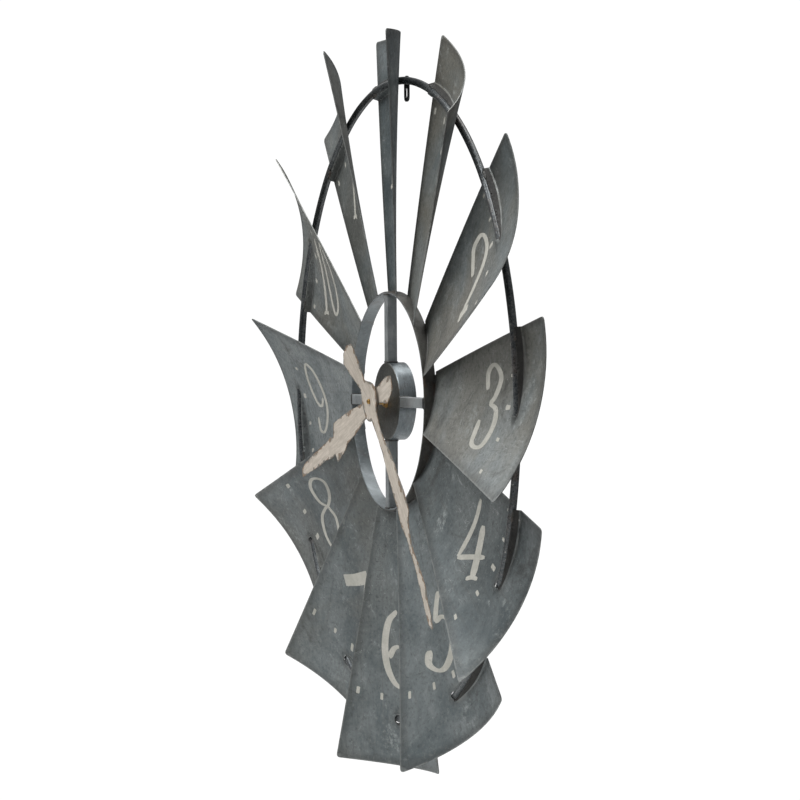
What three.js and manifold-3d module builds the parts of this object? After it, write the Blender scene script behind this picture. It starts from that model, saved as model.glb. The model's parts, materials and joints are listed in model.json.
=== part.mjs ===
// Windmill wall clock: twelve galvanised sheet blades on a flat hoop, a round hoop threaded through
// slots in the blades, a drum-shaped hub that holds a quartz movement, and two painted hands.
//
// Millimetres. +Z is up, -Y is the side the clock is read from, +X is 3 o'clock.
// The origin is on the hands' axis, at the back face of the movement.

import * as THREE from 'three';
import { mergeVertices } from 'three/addons/utils/BufferGeometryUtils.js';
import Module from 'manifold-3d';

const wasm = await Module();
wasm.setup();

// ---------------------------------------------------------------- driving dimensions

const GAP = 0.3;                     // left between pieces that touch
const HOURS = 12;
const HOUR_ANGLE = (2 * Math.PI) / HOURS;

const CLOCK_MID_Y = -10;             // middle plane of the flat hoop
const TIP_RADIUS = 450;
const SHEET = 1.2;

const BAND_RADIUS = 135.5;           // flat hoop, outside
const BAND_WIDTH = 16;
const BAND_THICKNESS = 3;

const RING_RADIUS = 394;             // round hoop, to the middle of the rod
const ROD_RADIUS = 4.75;
const RING_Y = CLOCK_MID_Y + 9;

const CUP_RADIUS = 48;
const CUP_FRONT_Y = -18.6;
const CUP_BACK_Y = 4;
const SPOKE_SIZE = 12.7;
const SPOKE_WALL = 1.5;
const SPOKE_FRONT_Y = -18.4;

const BLADE_BASE_U = 128;            // where the blade's straight edges start, out from the axis
const BLADE_BASE_CHORD = 76.6;
const BLADE_TIP_CHORD = 216.4;
const BLADE_BASE_PITCH = 12.5;       // degrees, anticlockwise edge towards the wall
const BLADE_TIP_PITCH = 16.4;
const BLADE_BASE_OFFSET = 0.8;       // chord middle behind CLOCK_MID_Y
const BLADE_TIP_OFFSET = -11.2;
const BLADE_BEND_RADIUS = 262;       // hollow side faces the reader
const BLADE_TIP_BOW = 2.4;
const SLOT_HALF_WIDTH = 6;
const SLOT_END_T = 17;               // how far the slot runs past the blade's middle

const HANGER_FRONT_Y = 10.5;
const HANGER_BACK_Y = 12.5;
const HANGER_HALF_WIDTH = 8;
const HANGER_TOP_Z = RING_RADIUS + 7;
const HANGER_BOTTOM_Z = RING_RADIUS - 25;
const HANGER_SLOT = { radius: 3.5, lowZ: RING_RADIUS - 17, highZ: RING_RADIUS - 11 };
const HANGER_BLOCK_HALF = { x: 5, z: 3 };

const STEM_RADIUS = 4;
const STEM_BORE = 3.1;
const STEM_FRONT_Y = -29;
const WASHER_RADIUS = 8.5;
const HOUR_HAND_Y = -36.6;           // front face of each hand
const MINUTE_HAND_Y = -40.4;
const HAND_SHEET = 0.8;
const HOUR_ANGLE_NOW = 251;          // degrees clockwise from 12
const MINUTE_ANGLE_NOW = 140.5;
const TAIL_BEND = 10.5;              // degrees that the minute hand's tail leans towards the reader
const ARBOR_RADIUS = 1.6;            // carries the minute hand
const HOUR_TUBE = { inner: 1.9, outer: 2.8 };

const CASE_SIZE = 56;
const CASE_FRONT_Y = -16.4;
const CASE_WALL = 1.2;
const CASE_JOIN_Y = -1.5;
const KNOB_RADIUS = 5;               // the setting knob on the movement's back
const BAY_TOP_Z = -12.2;             // the battery bay is below this

// Where the movement's axes stand, in the X-Z plane, as polar steps in mm and degrees from +X.
const THIRD_AT = { distance: 11.5, angle: 160 };
const FIFTH_AT = { distance: 9.6, angle: 60 };
const ROTOR_FROM_FIFTH = { distance: 8.4, angle: 20 };
const MOTION_AT = { distance: 12, angle: 0 };

// Front and back of each layer of wheels.
const LEVEL = {
  hour: [-14.1, -13.3],
  motion: [-12.9, -11.9],
  centre: [-11.2, -10.3],
  third: [-9.5, -8.7],
  fourth: [-7.6, -6.8],
  fifth: [-5.6, -4.8],
};

const TEETH = {
  rotorPinion: 6, fifth: 36,
  fifthPinion: 8, fourth: 40,
  fourthPinion: 8, third: 60,
  thirdPinion: 8, centre: 64,
  cannon: 12, motion: 36,
  motionPinion: 10, hour: 40,
};

// ---------------------------------------------------------------- materials

function material(color, roughness, metalness) {
  return new THREE.MeshStandardMaterial({ color, roughness, metalness });
}

const galvanised = () => material(0x6b7172, 0.55, 0.7);
const darkSteel = () => material(0x3c4243, 0.45, 0.8);
const creamPaint = () => material(0xbdb3a0, 0.8, 0.05);
const blackSteel = () => material(0x141617, 0.5, 0.6);
const blackPlastic = () => material(0x1d1e20, 0.6, 0);
const whitePlastic = () => material(0xd9d9d2, 0.55, 0);
const brass = () => material(0xb08a46, 0.35, 0.95);
const copper = () => material(0xa8623a, 0.4, 0.9);
const rubber = () => material(0x17181a, 0.9, 0);
const bareSteel = () => material(0x9a9ea0, 0.35, 0.95);
const boardGreen = () => material(0x2f5a3c, 0.6, 0);

// ---------------------------------------------------------------- solid helpers

const root = new THREE.Group();

function addPart(name, geometry, look) {
  const mesh = new THREE.Mesh(geometry, look);
  mesh.name = name;
  root.add(mesh);
  return mesh;
}

function toSolid(geometry) {
  const bare = geometry.clone();
  bare.deleteAttribute('normal');
  bare.deleteAttribute('uv');
  const merged = mergeVertices(bare, 1e-4);
  const vertProperties = Float32Array.from(merged.attributes.position.array);
  const triVerts = Uint32Array.from(merged.index.array);
  return new wasm.Manifold(new wasm.Mesh({ numProp: 3, vertProperties, triVerts }));
}

function toGeometry(solid) {
  const mesh = solid.getMesh();
  const geometry = new THREE.BufferGeometry();
  geometry.setAttribute('position', new THREE.BufferAttribute(mesh.vertProperties, 3));
  geometry.setIndex(new THREE.BufferAttribute(mesh.triVerts, 1));
  geometry.computeVertexNormals();
  return geometry;
}

function cut(body, ...tools) {
  let solid = toSolid(body);
  for (const tool of tools) {
    solid = solid.subtract(toSolid(tool));
  }
  return toGeometry(solid);
}

function join(first, ...others) {
  let solid = toSolid(first);
  for (const other of others) {
    solid = solid.add(toSolid(other));
  }
  return toGeometry(solid);
}

// A flat outline drawn as seen from the front (x right, y up) becomes a plate between two Y planes.
function plate(shape, frontY, backY, curveSegments = 12) {
  const depth = backY - frontY;
  const geometry = new THREE.ExtrudeGeometry(shape, { depth, bevelEnabled: false, curveSegments });
  geometry.rotateX(Math.PI / 2);
  geometry.translate(0, backY, 0);
  return geometry;
}

// A profile of [radius, y] pairs, front to back along the outside, turned about the Y axis at (x, z).
function turned(profile, segments, x = 0, z = 0) {
  const points = profile.map(([radius, y]) => new THREE.Vector2(radius, y));
  const geometry = new THREE.LatheGeometry(points, segments);
  geometry.translate(x, 0, z);
  return geometry;
}

function pin(radius, frontY, backY, x = 0, z = 0, segments = 20) {
  return turned([[0, frontY], [radius, frontY], [radius, backY], [0, backY]], segments, x, z);
}

function sleeve(inner, outer, frontY, backY, segments) {
  const profile = [[inner, frontY], [outer, frontY], [outer, backY], [inner, backY], [inner, frontY]];
  return turned(profile, segments);
}

function box(x0, x1, y0, y1, z0, z1) {
  const geometry = new THREE.BoxGeometry(x1 - x0, y1 - y0, z1 - z0);
  geometry.translate((x0 + x1) / 2, (y0 + y1) / 2, (z0 + z1) / 2);
  return geometry;
}

function roundedRect(halfX, lowZ, highZ, radius) {
  const right = Math.PI / 2;
  const shape = new THREE.Shape();
  shape.moveTo(halfX, lowZ + radius);
  shape.absarc(halfX - radius, highZ - radius, radius, 0, right);
  shape.absarc(radius - halfX, highZ - radius, radius, right, 2 * right);
  shape.absarc(radius - halfX, lowZ + radius, radius, 2 * right, 3 * right);
  shape.absarc(halfX - radius, lowZ + radius, radius, 3 * right, 4 * right);
  return shape;
}

function circleHole(radius, x = 0, z = 0) {
  const hole = new THREE.Path();
  hole.absarc(x, z, radius, 0, 2 * Math.PI);
  return hole;
}

const radians = THREE.MathUtils.degToRad;

function polar({ distance, angle }, from = { x: 0, z: 0 }) {
  return {
    x: from.x + distance * Math.cos(radians(angle)),
    z: from.z + distance * Math.sin(radians(angle)),
  };
}

const CENTRE = { x: 0, z: 0 };
const third = polar(THIRD_AT);
const fifth = polar(FIFTH_AT);
const rotor = polar(ROTOR_FROM_FIFTH, fifth);
const motion = polar(MOTION_AT);

// ---------------------------------------------------------------- blades

// The sheet's middle surface: u runs out from the axis, c runs from -0.5 at the anticlockwise edge
// to 0.5 at the clockwise edge. Returns the point and the sheet's normal in the blade's (t, y) plane.
function bladeSurface(u, c) {
  const s = (u - BLADE_BASE_U) / (TIP_RADIUS - BLADE_BASE_U);
  const chord = THREE.MathUtils.lerp(BLADE_BASE_CHORD, BLADE_TIP_CHORD, s);
  const pitch = radians(THREE.MathUtils.lerp(BLADE_BASE_PITCH, BLADE_TIP_PITCH, s));
  const offset = THREE.MathUtils.lerp(BLADE_BASE_OFFSET, BLADE_TIP_OFFSET, s);
  const halfBend = Math.asin(chord / 2 / BLADE_BEND_RADIUS);
  const bend = 2 * c * halfBend;
  const along = BLADE_BEND_RADIUS * Math.sin(bend);
  const bulge = BLADE_BEND_RADIUS * (Math.cos(bend) - Math.cos(halfBend));
  return {
    t: along * Math.cos(pitch) + bulge * Math.sin(pitch),
    y: CLOCK_MID_Y + offset - along * Math.sin(pitch) + bulge * Math.cos(pitch),
    normal: pitch + bend,
  };
}

function bladeSheet() {
  const across = 10;
  const out = 3;
  const sheet = new THREE.BoxGeometry(1, 1, 1, across, out, 1);
  const position = sheet.attributes.position;
  for (let i = 0; i < position.count; i += 1) {
    const c = position.getX(i);
    const row = position.getY(i) + 0.5;
    const side = -position.getZ(i) * SHEET;
    const base = Math.sqrt((BAND_RADIUS + GAP) ** 2 - bladeSurface(BLADE_BASE_U, c).t ** 2);
    const tip = TIP_RADIUS + BLADE_TIP_BOW * (1 - 4 * c * c);
    const u = THREE.MathUtils.lerp(base, tip, row);
    const { t, y, normal } = bladeSurface(u, c);
    position.setXYZ(i, t + side * Math.sin(normal), y + side * Math.cos(normal), u);
  }
  return sheet;
}

// The slot follows the round hoop from the blade's anticlockwise edge to just past its middle.
function bladeSlot() {
  const reachY = 60;
  const end = Math.PI / 2 - SLOT_END_T / RING_RADIUS;
  const open = Math.PI / 2 + HOUR_ANGLE / 2 + SLOT_HALF_WIDTH / RING_RADIUS;
  const endX = RING_RADIUS * Math.cos(end);
  const endZ = RING_RADIUS * Math.sin(end);
  const shape = new THREE.Shape();
  shape.absarc(0, 0, RING_RADIUS - SLOT_HALF_WIDTH, open, end, true);
  shape.absarc(endX, endZ, SLOT_HALF_WIDTH, end + Math.PI, end + 2 * Math.PI);
  shape.absarc(0, 0, RING_RADIUS + SLOT_HALF_WIDTH, end, open, false);
  return plate(shape, CLOCK_MID_Y - reachY, CLOCK_MID_Y + reachY, 5);
}

function makeBlades() {
  const blade = cut(bladeSheet(), bladeSlot());
  for (let hour = 1; hour <= HOURS; hour += 1) {
    const mesh = addPart(`blade_${String(hour).padStart(2, '0')}`, blade, galvanised());
    mesh.rotation.y = hour * HOUR_ANGLE;
  }
}

// ---------------------------------------------------------------- hoops, spokes and hub cup

function makeHoops() {
  const bandFront = CLOCK_MID_Y - BAND_WIDTH / 2;
  const bandInner = BAND_RADIUS - BAND_THICKNESS;
  const band = sleeve(bandInner, BAND_RADIUS, bandFront, bandFront + BAND_WIDTH, 60);
  addPart('inner_band', band, galvanised());

  const rodSides = 8;
  const rod = [];
  for (let i = 0; i <= rodSides; i += 1) {
    const turn = ((i % rodSides) / rodSides) * 2 * Math.PI;
    rod.push([RING_RADIUS + ROD_RADIUS * Math.cos(turn), RING_Y + ROD_RADIUS * Math.sin(turn)]);
  }
  addPart('outer_ring', turned(rod, 60), darkSteel());
}

// Four square tubes, open at both ends, from the cup to the flat hoop.
function makeSpokes() {
  const half = SPOKE_SIZE / 2;
  const bore = half - SPOKE_WALL;
  const inner = CUP_RADIUS + GAP;
  const outer = Math.sqrt((BAND_RADIUS - BAND_THICKNESS - GAP) ** 2 - half ** 2);
  const middleY = SPOKE_FRONT_Y + half;
  const tube = box(-half, half, middleY - half, middleY + half, inner, outer);
  const hollow = box(-bore, bore, middleY - bore, middleY + bore, inner - 1, outer + 1);
  const spoke = cut(tube, hollow);
  for (const hour of [12, 3, 6, 9]) {
    const mesh = addPart(`spoke_${String(hour).padStart(2, '0')}`, spoke, galvanised());
    mesh.rotation.y = hour * HOUR_ANGLE;
  }
}

// A drum pressed from sheet: closed at the front, open towards the wall.
function makeCup() {
  const inside = CUP_RADIUS - SHEET;
  const faceBack = CUP_FRONT_Y + SHEET;
  const hole = STEM_RADIUS + GAP;
  const washerSeat = WASHER_RADIUS + 1;
  const profile = [
    [hole, CUP_FRONT_Y], [washerSeat, CUP_FRONT_Y], [CUP_RADIUS, CUP_FRONT_Y],
    [CUP_RADIUS, CUP_BACK_Y], [inside, CUP_BACK_Y], [inside, faceBack],
    [hole, faceBack], [hole, CUP_FRONT_Y],
  ];
  addPart('hub_cup', turned(profile, 36), galvanised());
}

// ---------------------------------------------------------------- hanger

// A plate with an upright slot for a screw head, held off the round hoop by a block.
function makeHanger() {
  const slot = new THREE.Path();
  slot.absarc(0, HANGER_SLOT.highZ, HANGER_SLOT.radius, 0, Math.PI);
  slot.absarc(0, HANGER_SLOT.lowZ, HANGER_SLOT.radius, Math.PI, 2 * Math.PI);
  const outline = roundedRect(HANGER_HALF_WIDTH, HANGER_BOTTOM_Z, HANGER_TOP_Z, 5);
  outline.holes.push(slot);
  addPart('hanger_plate', plate(outline, HANGER_FRONT_Y, HANGER_BACK_Y, 3), blackSteel());

  const { x, z } = HANGER_BLOCK_HALF;
  const blockFront = RING_Y + ROD_RADIUS + GAP;
  const block = box(-x, x, blockFront, HANGER_FRONT_Y - GAP, RING_RADIUS - z, RING_RADIUS + z);
  addPart('hanger_block', block, blackSteel());
}

// ---------------------------------------------------------------- movement case and its fixing

function makeCase() {
  const half = CASE_SIZE / 2;
  const inner = half - CASE_WALL;
  const floorY = CASE_FRONT_Y + CASE_WALL;
  const tray = plate(roundedRect(half, -half, half, 4), CASE_FRONT_Y, CASE_JOIN_Y, 3);
  const gearBay = box(-inner, inner, floorY, 0, BAY_TOP_Z + CASE_WALL, inner);
  const batteryBay = box(-inner, inner, floorY, 0, -inner, BAY_TOP_Z);
  const stemHole = pin(STEM_RADIUS + GAP, CASE_FRONT_Y - 1, floorY + 1);
  addPart('movement_case', cut(tray, gearBay, batteryBay, stemHole), blackPlastic());

  const cover = roundedRect(half, BAY_TOP_Z, half, 3);
  cover.holes.push(circleHole(KNOB_RADIUS + 2 * GAP, motion.x, motion.z));
  addPart('movement_back_cover', plate(cover, CASE_JOIN_Y + GAP, 0, 4), blackPlastic());
}

// The stem screws into the case from inside; washer and nut clamp the movement to the cup's face.
function makeFixing() {
  const flangeFront = CASE_FRONT_Y + CASE_WALL + GAP;
  const flangeBack = flangeFront + 0.5;
  const flangeRadius = 5.2;
  const chamfer = 0.4;
  const profile = [
    [STEM_BORE, STEM_FRONT_Y], [STEM_RADIUS - chamfer, STEM_FRONT_Y],
    [STEM_RADIUS, STEM_FRONT_Y + chamfer], [STEM_RADIUS, flangeFront],
    [flangeRadius, flangeFront], [flangeRadius, flangeBack],
    [STEM_BORE, flangeBack], [STEM_BORE, STEM_FRONT_Y],
  ];
  addPart('threaded_stem', turned(profile, 18), brass());

  const hole = STEM_RADIUS + GAP;
  const rubberRadius = 10;
  const rubberFront = CUP_FRONT_Y + SHEET + GAP / 2;
  const rubberBack = CASE_FRONT_Y - GAP / 2;
  addPart('rubber_washer', sleeve(hole, rubberRadius, rubberFront, rubberBack, 18), rubber());

  const washerBack = CUP_FRONT_Y - GAP;
  const washerFront = washerBack - 0.6;
  addPart('brass_washer', sleeve(hole, WASHER_RADIUS, washerFront, washerBack, 18), brass());

  const nutRadius = 6.9;
  const nutBack = washerFront - GAP;
  const nutFront = nutBack - 3;
  const corners = [];
  for (let i = 0; i < 6; i += 1) {
    const turn = (i * Math.PI) / 3;
    corners.push(new THREE.Vector2(nutRadius * Math.cos(turn), nutRadius * Math.sin(turn)));
  }
  const nut = new THREE.Shape(corners);
  nut.holes.push(circleHole(hole));
  addPart('hex_nut', plate(nut, nutFront, nutBack, 9), brass());
}

// An AA cell lying across the lower bay, between a flat contact and a folded spring contact.
function makeBattery() {
  const radius = 6.9;
  const centreY = -7.9;
  const centreZ = -19.65;
  const minusX = -24.6;
  const shoulderX = 24.4;
  const plusX = 25.5;
  const nubRadius = 2.7;
  const profile = [
    [0, minusX], [radius, minusX], [radius, shoulderX],
    [nubRadius, shoulderX], [nubRadius, plusX], [0, plusX],
  ];
  const cell = turned(profile, 20);
  cell.rotateZ(-Math.PI / 2);
  cell.translate(0, centreY, centreZ);
  addPart('battery', cell, darkSteel());

  const half = 5;
  const strip = 0.4;
  const foot = -26.5;
  const springTop = minusX - GAP - strip;
  const frontY = centreY - half;
  const backY = centreY + half;
  const lowZ = centreZ - half;
  const highZ = centreZ + half;
  const plusFace = plusX + GAP;
  addPart('contact_plus', box(plusFace, plusFace + strip, frontY, backY, lowZ, highZ), bareSteel());

  const spring = new THREE.Shape();
  spring.moveTo(foot, lowZ);
  spring.lineTo(foot + strip, lowZ);
  spring.lineTo(springTop + strip, centreZ);
  spring.lineTo(foot + strip, highZ);
  spring.lineTo(foot, highZ);
  spring.lineTo(springTop, centreZ);
  addPart('contact_minus', plate(spring, frontY, backY), bareSteel());
}

// ---------------------------------------------------------------- gears

const moduleFor = (distance, teethA, teethB) => (2 * distance) / (teethA + teethB);
const flat = ([front, back]) => ({ frontY: front, backY: back });
const overlapping = ([front, back]) => ({ frontY: front - 0.2, backY: back + 0.2 });

// Pointed teeth with plenty of backlash. aim is the direction, in degrees from +X towards +Z, that a
// tooth points in or, with between set, that the space between two teeth points in.
function gear({ teeth, module, at, frontY, backY, aim, between = false, bore = 0 }) {
  const smallPinion = 12;
  const pitchRadius = (teeth * module) / 2;
  const tipRadius = pitchRadius + 0.75 * module;
  const rootRadius = pitchRadius - 1.15 * module;
  const step = (2 * Math.PI) / teeth;
  const start = radians(aim) + (between ? step / 2 : 0);
  const narrowTooth = [[-0.36, rootRadius], [0, tipRadius], [0.36, rootRadius]];
  const wideTooth = [[-0.5, rootRadius], [0, tipRadius]];
  const tooth = teeth > smallPinion ? wideTooth : narrowTooth;
  const points = [];
  for (let i = 0; i < teeth; i += 1) {
    for (const [offset, radius] of tooth) {
      const turn = start + (i + offset) * step;
      points.push(new THREE.Vector2(at.x + radius * Math.cos(turn), at.z + radius * Math.sin(turn)));
    }
  }
  const shape = new THREE.Shape(points);
  if (bore > 0) {
    shape.holes.push(circleHole(bore, at.x, at.z));
  }
  return plate(shape, frontY, backY, 5);
}

// The two gears of one meshing pair share a module and point at each other along the same line.
function gearPair({ distance, angle }, pinion, wheel) {
  const module = moduleFor(distance, pinion.teeth, wheel.teeth);
  const pinionGear = gear({ ...pinion, module, aim: pinion.inward ? angle + 180 : angle });
  const wheelGear = gear({ ...wheel, module, aim: wheel.inward ? angle + 180 : angle, between: true });
  return [pinionGear, wheelGear];
}

function arbor(at, frontY, radius = 0.6) {
  return pin(radius, frontY, CASE_JOIN_Y, at.x, at.z, 10);
}

// Stepping-motor rotor and the wheels that gear it down to the centre wheel.
function makeTrain() {
  const [rotorPinion, fifthWheel] = gearPair(
    ROTOR_FROM_FIFTH,
    { teeth: TEETH.rotorPinion, at: rotor, ...overlapping(LEVEL.fifth), inward: true },
    { teeth: TEETH.fifth, at: fifth, ...flat(LEVEL.fifth) },
  );
  const [fifthPinion, fourthWheel] = gearPair(
    FIFTH_AT,
    { teeth: TEETH.fifthPinion, at: fifth, ...overlapping(LEVEL.fourth), inward: true },
    { teeth: TEETH.fourth, at: CENTRE, ...flat(LEVEL.fourth) },
  );
  const [fourthPinion, thirdWheel] = gearPair(
    THIRD_AT,
    { teeth: TEETH.fourthPinion, at: CENTRE, ...overlapping(LEVEL.third) },
    { teeth: TEETH.third, at: third, ...flat(LEVEL.third), inward: true },
  );
  // The centre wheel grips the minute arbor by friction, so the hands can be set against the train.
  const [thirdPinion, centreWheel] = gearPair(
    THIRD_AT,
    { teeth: TEETH.thirdPinion, at: third, ...overlapping(LEVEL.centre), inward: true },
    { teeth: TEETH.centre, at: CENTRE, ...flat(LEVEL.centre), bore: ARBOR_RADIUS + GAP },
  );

  const magnet = pin(3, -9.6, -6.6, rotor.x, rotor.z);
  addPart('rotor', join(rotorPinion, magnet, arbor(rotor, -11, 0.5)), bareSteel());
  addPart('fifth_wheel', join(fifthWheel, fifthPinion, arbor(fifth, -9.4)), whitePlastic());
  const fourthFront = overlapping(LEVEL.third).frontY;
  addPart('fourth_wheel', join(fourthWheel, fourthPinion, arbor(CENTRE, fourthFront)), whitePlastic());
  addPart('third_wheel', join(thirdWheel, thirdPinion, arbor(third, -14.5)), whitePlastic());
  addPart('centre_wheel', centreWheel, whitePlastic());
}

// Cannon pinion, motion wheel and hour wheel: the 12 to 1 reduction between the hands.
function makeMotionWork() {
  const knobShaftRadius = 1;
  const motionBore = knobShaftRadius + 0.1;
  const [cannon, motionWheel] = gearPair(
    MOTION_AT,
    { teeth: TEETH.cannon, at: CENTRE, ...overlapping(LEVEL.motion) },
    { teeth: TEETH.motion, at: motion, ...flat(LEVEL.motion), inward: true, bore: motionBore },
  );
  const pinionFront = overlapping(LEVEL.hour).frontY;
  const pinionBack = LEVEL.motion[0] + 0.2;
  const [motionPinion, hourWheel] = gearPair(
    MOTION_AT,
    {
      teeth: TEETH.motionPinion, at: motion, frontY: pinionFront, backY: pinionBack,
      inward: true, bore: motionBore,
    },
    { teeth: TEETH.hour, at: CENTRE, ...flat(LEVEL.hour), bore: HOUR_TUBE.inner },
  );

  const arborFront = MINUTE_HAND_Y - 3.4;
  const arborPin = pin(ARBOR_RADIUS, arborFront, LEVEL.centre[1] + GAP);
  addPart('minute_arbor', join(cannon, arborPin), brass());
  addPart('motion_wheel', join(motionWheel, motionPinion), whitePlastic());

  const tubeFront = HOUR_HAND_Y - 1;
  const hourTube = sleeve(HOUR_TUBE.inner, HOUR_TUBE.outer, tubeFront, LEVEL.hour[1], 20);
  addPart('hour_wheel', join(hourWheel, hourTube), whitePlastic());

  const knobFront = 0.8;
  const knobBack = 3.4;
  const knobEdge = 0.4;
  const shaft = pin(knobShaftRadius, pinionFront, knobFront + 0.2, motion.x, motion.z, 12);
  const grip = [
    [0, knobFront], [KNOB_RADIUS - knobEdge, knobFront], [KNOB_RADIUS, knobFront + knobEdge],
    [KNOB_RADIUS, knobBack - knobEdge], [KNOB_RADIUS - knobEdge, knobBack], [0, knobBack],
  ];
  addPart('setting_knob', join(shaft, turned(grip, 24, motion.x, motion.z)), blackPlastic());
}

// ---------------------------------------------------------------- motor and circuit

// The stator's two arms carry the flux from the coil's core round the rotor.
function makeMotor() {
  const frontY = -8.8;
  const backY = -7.8;
  const coilX = 22.8;
  const coreHalf = 1.5;
  const armEndX = coilX + 2;
  const armTop = 17;
  const armBottom = -8.6;
  const armWidth = 3;
  const rotorHole = 3.7;
  const shape = new THREE.Shape();
  shape.moveTo(rotor.x - 5, rotor.z - 4.8);
  shape.lineTo(rotor.x + 4, rotor.z - 4.8);
  shape.lineTo(rotor.x + 4, armBottom);
  shape.lineTo(armEndX, armBottom);
  shape.lineTo(armEndX, armBottom + armWidth);
  shape.lineTo(rotor.x + 6, armBottom + armWidth);
  shape.lineTo(rotor.x + 6, rotor.z - 2);
  shape.lineTo(rotor.x + 5, rotor.z + 2);
  shape.lineTo(rotor.x + 5, armTop - armWidth);
  shape.lineTo(armEndX, armTop - armWidth);
  shape.lineTo(armEndX, armTop);
  shape.lineTo(rotor.x - 5, armTop);
  shape.holes.push(circleHole(rotorHole, rotor.x, rotor.z));
  addPart('stator', plate(shape, frontY, backY, 8), bareSteel());

  const coreFront = backY + GAP;
  const coreBack = coreFront + 1;
  const core = box(coilX - coreHalf, coilX + coreHalf, coreFront, coreBack, armBottom, armTop);
  addPart('coil_core', core, bareSteel());

  const windingRadius = 2.9;
  const flangeRadius = 3.3;
  const low = armBottom + armWidth + GAP;
  const high = armTop - armWidth - GAP;
  const bobbin = turned([
    [0, low], [flangeRadius, low], [flangeRadius, low + 1], [windingRadius, low + 1],
    [windingRadius, high - 1], [flangeRadius, high - 1], [flangeRadius, high], [0, high],
  ], 20);
  bobbin.rotateX(Math.PI / 2);
  bobbin.translate(coilX, (coreFront + coreBack) / 2, 0);
  const hole = coreHalf + GAP;
  const coreHole = box(coilX - hole, coilX + hole, coreFront - GAP, coreBack + GAP, low - 1, high + 1);
  addPart('coil', cut(bobbin, coreHole), copper());
}

// A narrow board above the wheels, with the watch crystal lying on it.
function makeCircuit() {
  const boardFront = -7.4;
  const boardBack = -6.4;
  addPart('circuit_board', box(-25.5, 6, boardFront, boardBack, 18.5, 26), boardGreen());
  const crystalRadius = 1;
  const crystalLength = 7.5;
  const crystal = pin(crystalRadius, 0, crystalLength, 0, 0, 12);
  crystal.rotateZ(Math.PI / 2);
  crystal.translate(-10, boardBack + crystalRadius + GAP, 22);
  addPart('quartz_crystal', crystal, bareSteel());
}

// ---------------------------------------------------------------- hands

// The hands were cut freehand, so each edge has its own points, as [across, along], out from the axis.
function handOutline({ clockwise, anticlockwise }) {
  const edges = [...clockwise, ...[...anticlockwise].reverse()];
  return new THREE.Shape(edges.map(([across, along]) => new THREE.Vector2(across, along)));
}

function makeHand(name, { arm, tail, discRadius, bore, frontY, angle, tailBend }) {
  const backY = frontY + HAND_SHEET;
  const disc = pin(discRadius, frontY, backY, 0, 0, 24);
  const armPlate = plate(handOutline(arm), frontY, backY);
  const tailPlate = plate(handOutline(tail), frontY, backY);
  const bendZ = tail.clockwise[0][1];
  tailPlate.translate(0, -backY, -bendZ);
  tailPlate.rotateX(-radians(tailBend));
  tailPlate.translate(0, backY, bendZ);
  const hole = pin(bore, frontY - 1, backY + 1, 0, 0, 12);
  const blank = join(disc, armPlate, tailPlate);
  const mesh = addPart(name, cut(blank, hole), creamPaint());
  mesh.rotation.y = radians(angle);
}

function makeHands() {
  makeHand('hour_hand', {
    arm: {
      clockwise: [[5, -4], [10, 40], [15, 78], [20, 153], [4, 159], [7, 172], [7, 240], [2, 297]],
      anticlockwise: [
        [-5, -4], [-13, 37], [-19, 80], [-20, 110], [-31, 154], [-19, 160], [-14, 233], [-8, 297],
      ],
    },
    tail: {
      clockwise: [[8, -9], [11, -24], [14, -56], [9, -74]],
      anticlockwise: [[-8, -9], [-10, -24], [-19, -52], [-9, -74]],
    },
    discRadius: 20,
    bore: HOUR_TUBE.outer + GAP / 2,
    frontY: HOUR_HAND_Y,
    angle: HOUR_ANGLE_NOW,
    tailBend: 0,
  });
  makeHand('minute_hand', {
    arm: {
      clockwise: [[5, -4], [5, 163], [7, 187], [1, 210], [1, 248], [6, 331], [1, 341]],
      anticlockwise: [
        [-5, -4], [-11, 68], [-20, 94], [-26, 156], [-26, 186], [-13, 202], [-8, 235], [-13, 294], [-3, 341],
      ],
    },
    tail: {
      clockwise: [[8, -9], [9, -27], [15, -50], [19, -77], [8, -84]],
      anticlockwise: [[-8, -9], [-9, -27], [-16, -50], [-20, -77], [-8, -84]],
    },
    discRadius: 25,
    bore: ARBOR_RADIUS + GAP / 2,
    frontY: MINUTE_HAND_Y,
    angle: MINUTE_ANGLE_NOW,
    tailBend: TAIL_BEND,
  });
}

// The domed nut that holds the minute hand on its arbor.
function makeMinuteNut() {
  const bore = ARBOR_RADIUS + GAP;
  const radius = 3.2;
  const dome = 0.8;
  const backY = MINUTE_HAND_Y - GAP;
  const frontY = backY - 2.2;
  const profile = [
    [bore, frontY], [radius - dome, frontY], [radius, frontY + dome],
    [radius, backY], [bore, backY], [bore, frontY],
  ];
  addPart('minute_nut', turned(profile, 16), brass());
}

// ---------------------------------------------------------------- the clock

makeBlades();
makeHoops();
makeSpokes();
makeCup();
makeHanger();
makeCase();
makeFixing();
makeBattery();
makeTrain();
makeMotionWork();
makeMotor();
makeCircuit();
makeHands();
makeMinuteNut();

export default root;
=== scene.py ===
"""Looks of the windmill wall clock: weathered galvanised blades on two hoops, a hub cup, painted hands.

Metres, in the frame's own axes: +Z is 12 o'clock, -Y is the side the clock is read from.
A sheet point is given as (t, u): t runs clockwise across a blade or hand, u runs out from the axis.
"""
import json
import math
import random

import bmesh
import bpy
import numpy as np
from mathutils import Matrix, Vector
from mathutils.geometry import delaunay_2d_cdt


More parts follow.
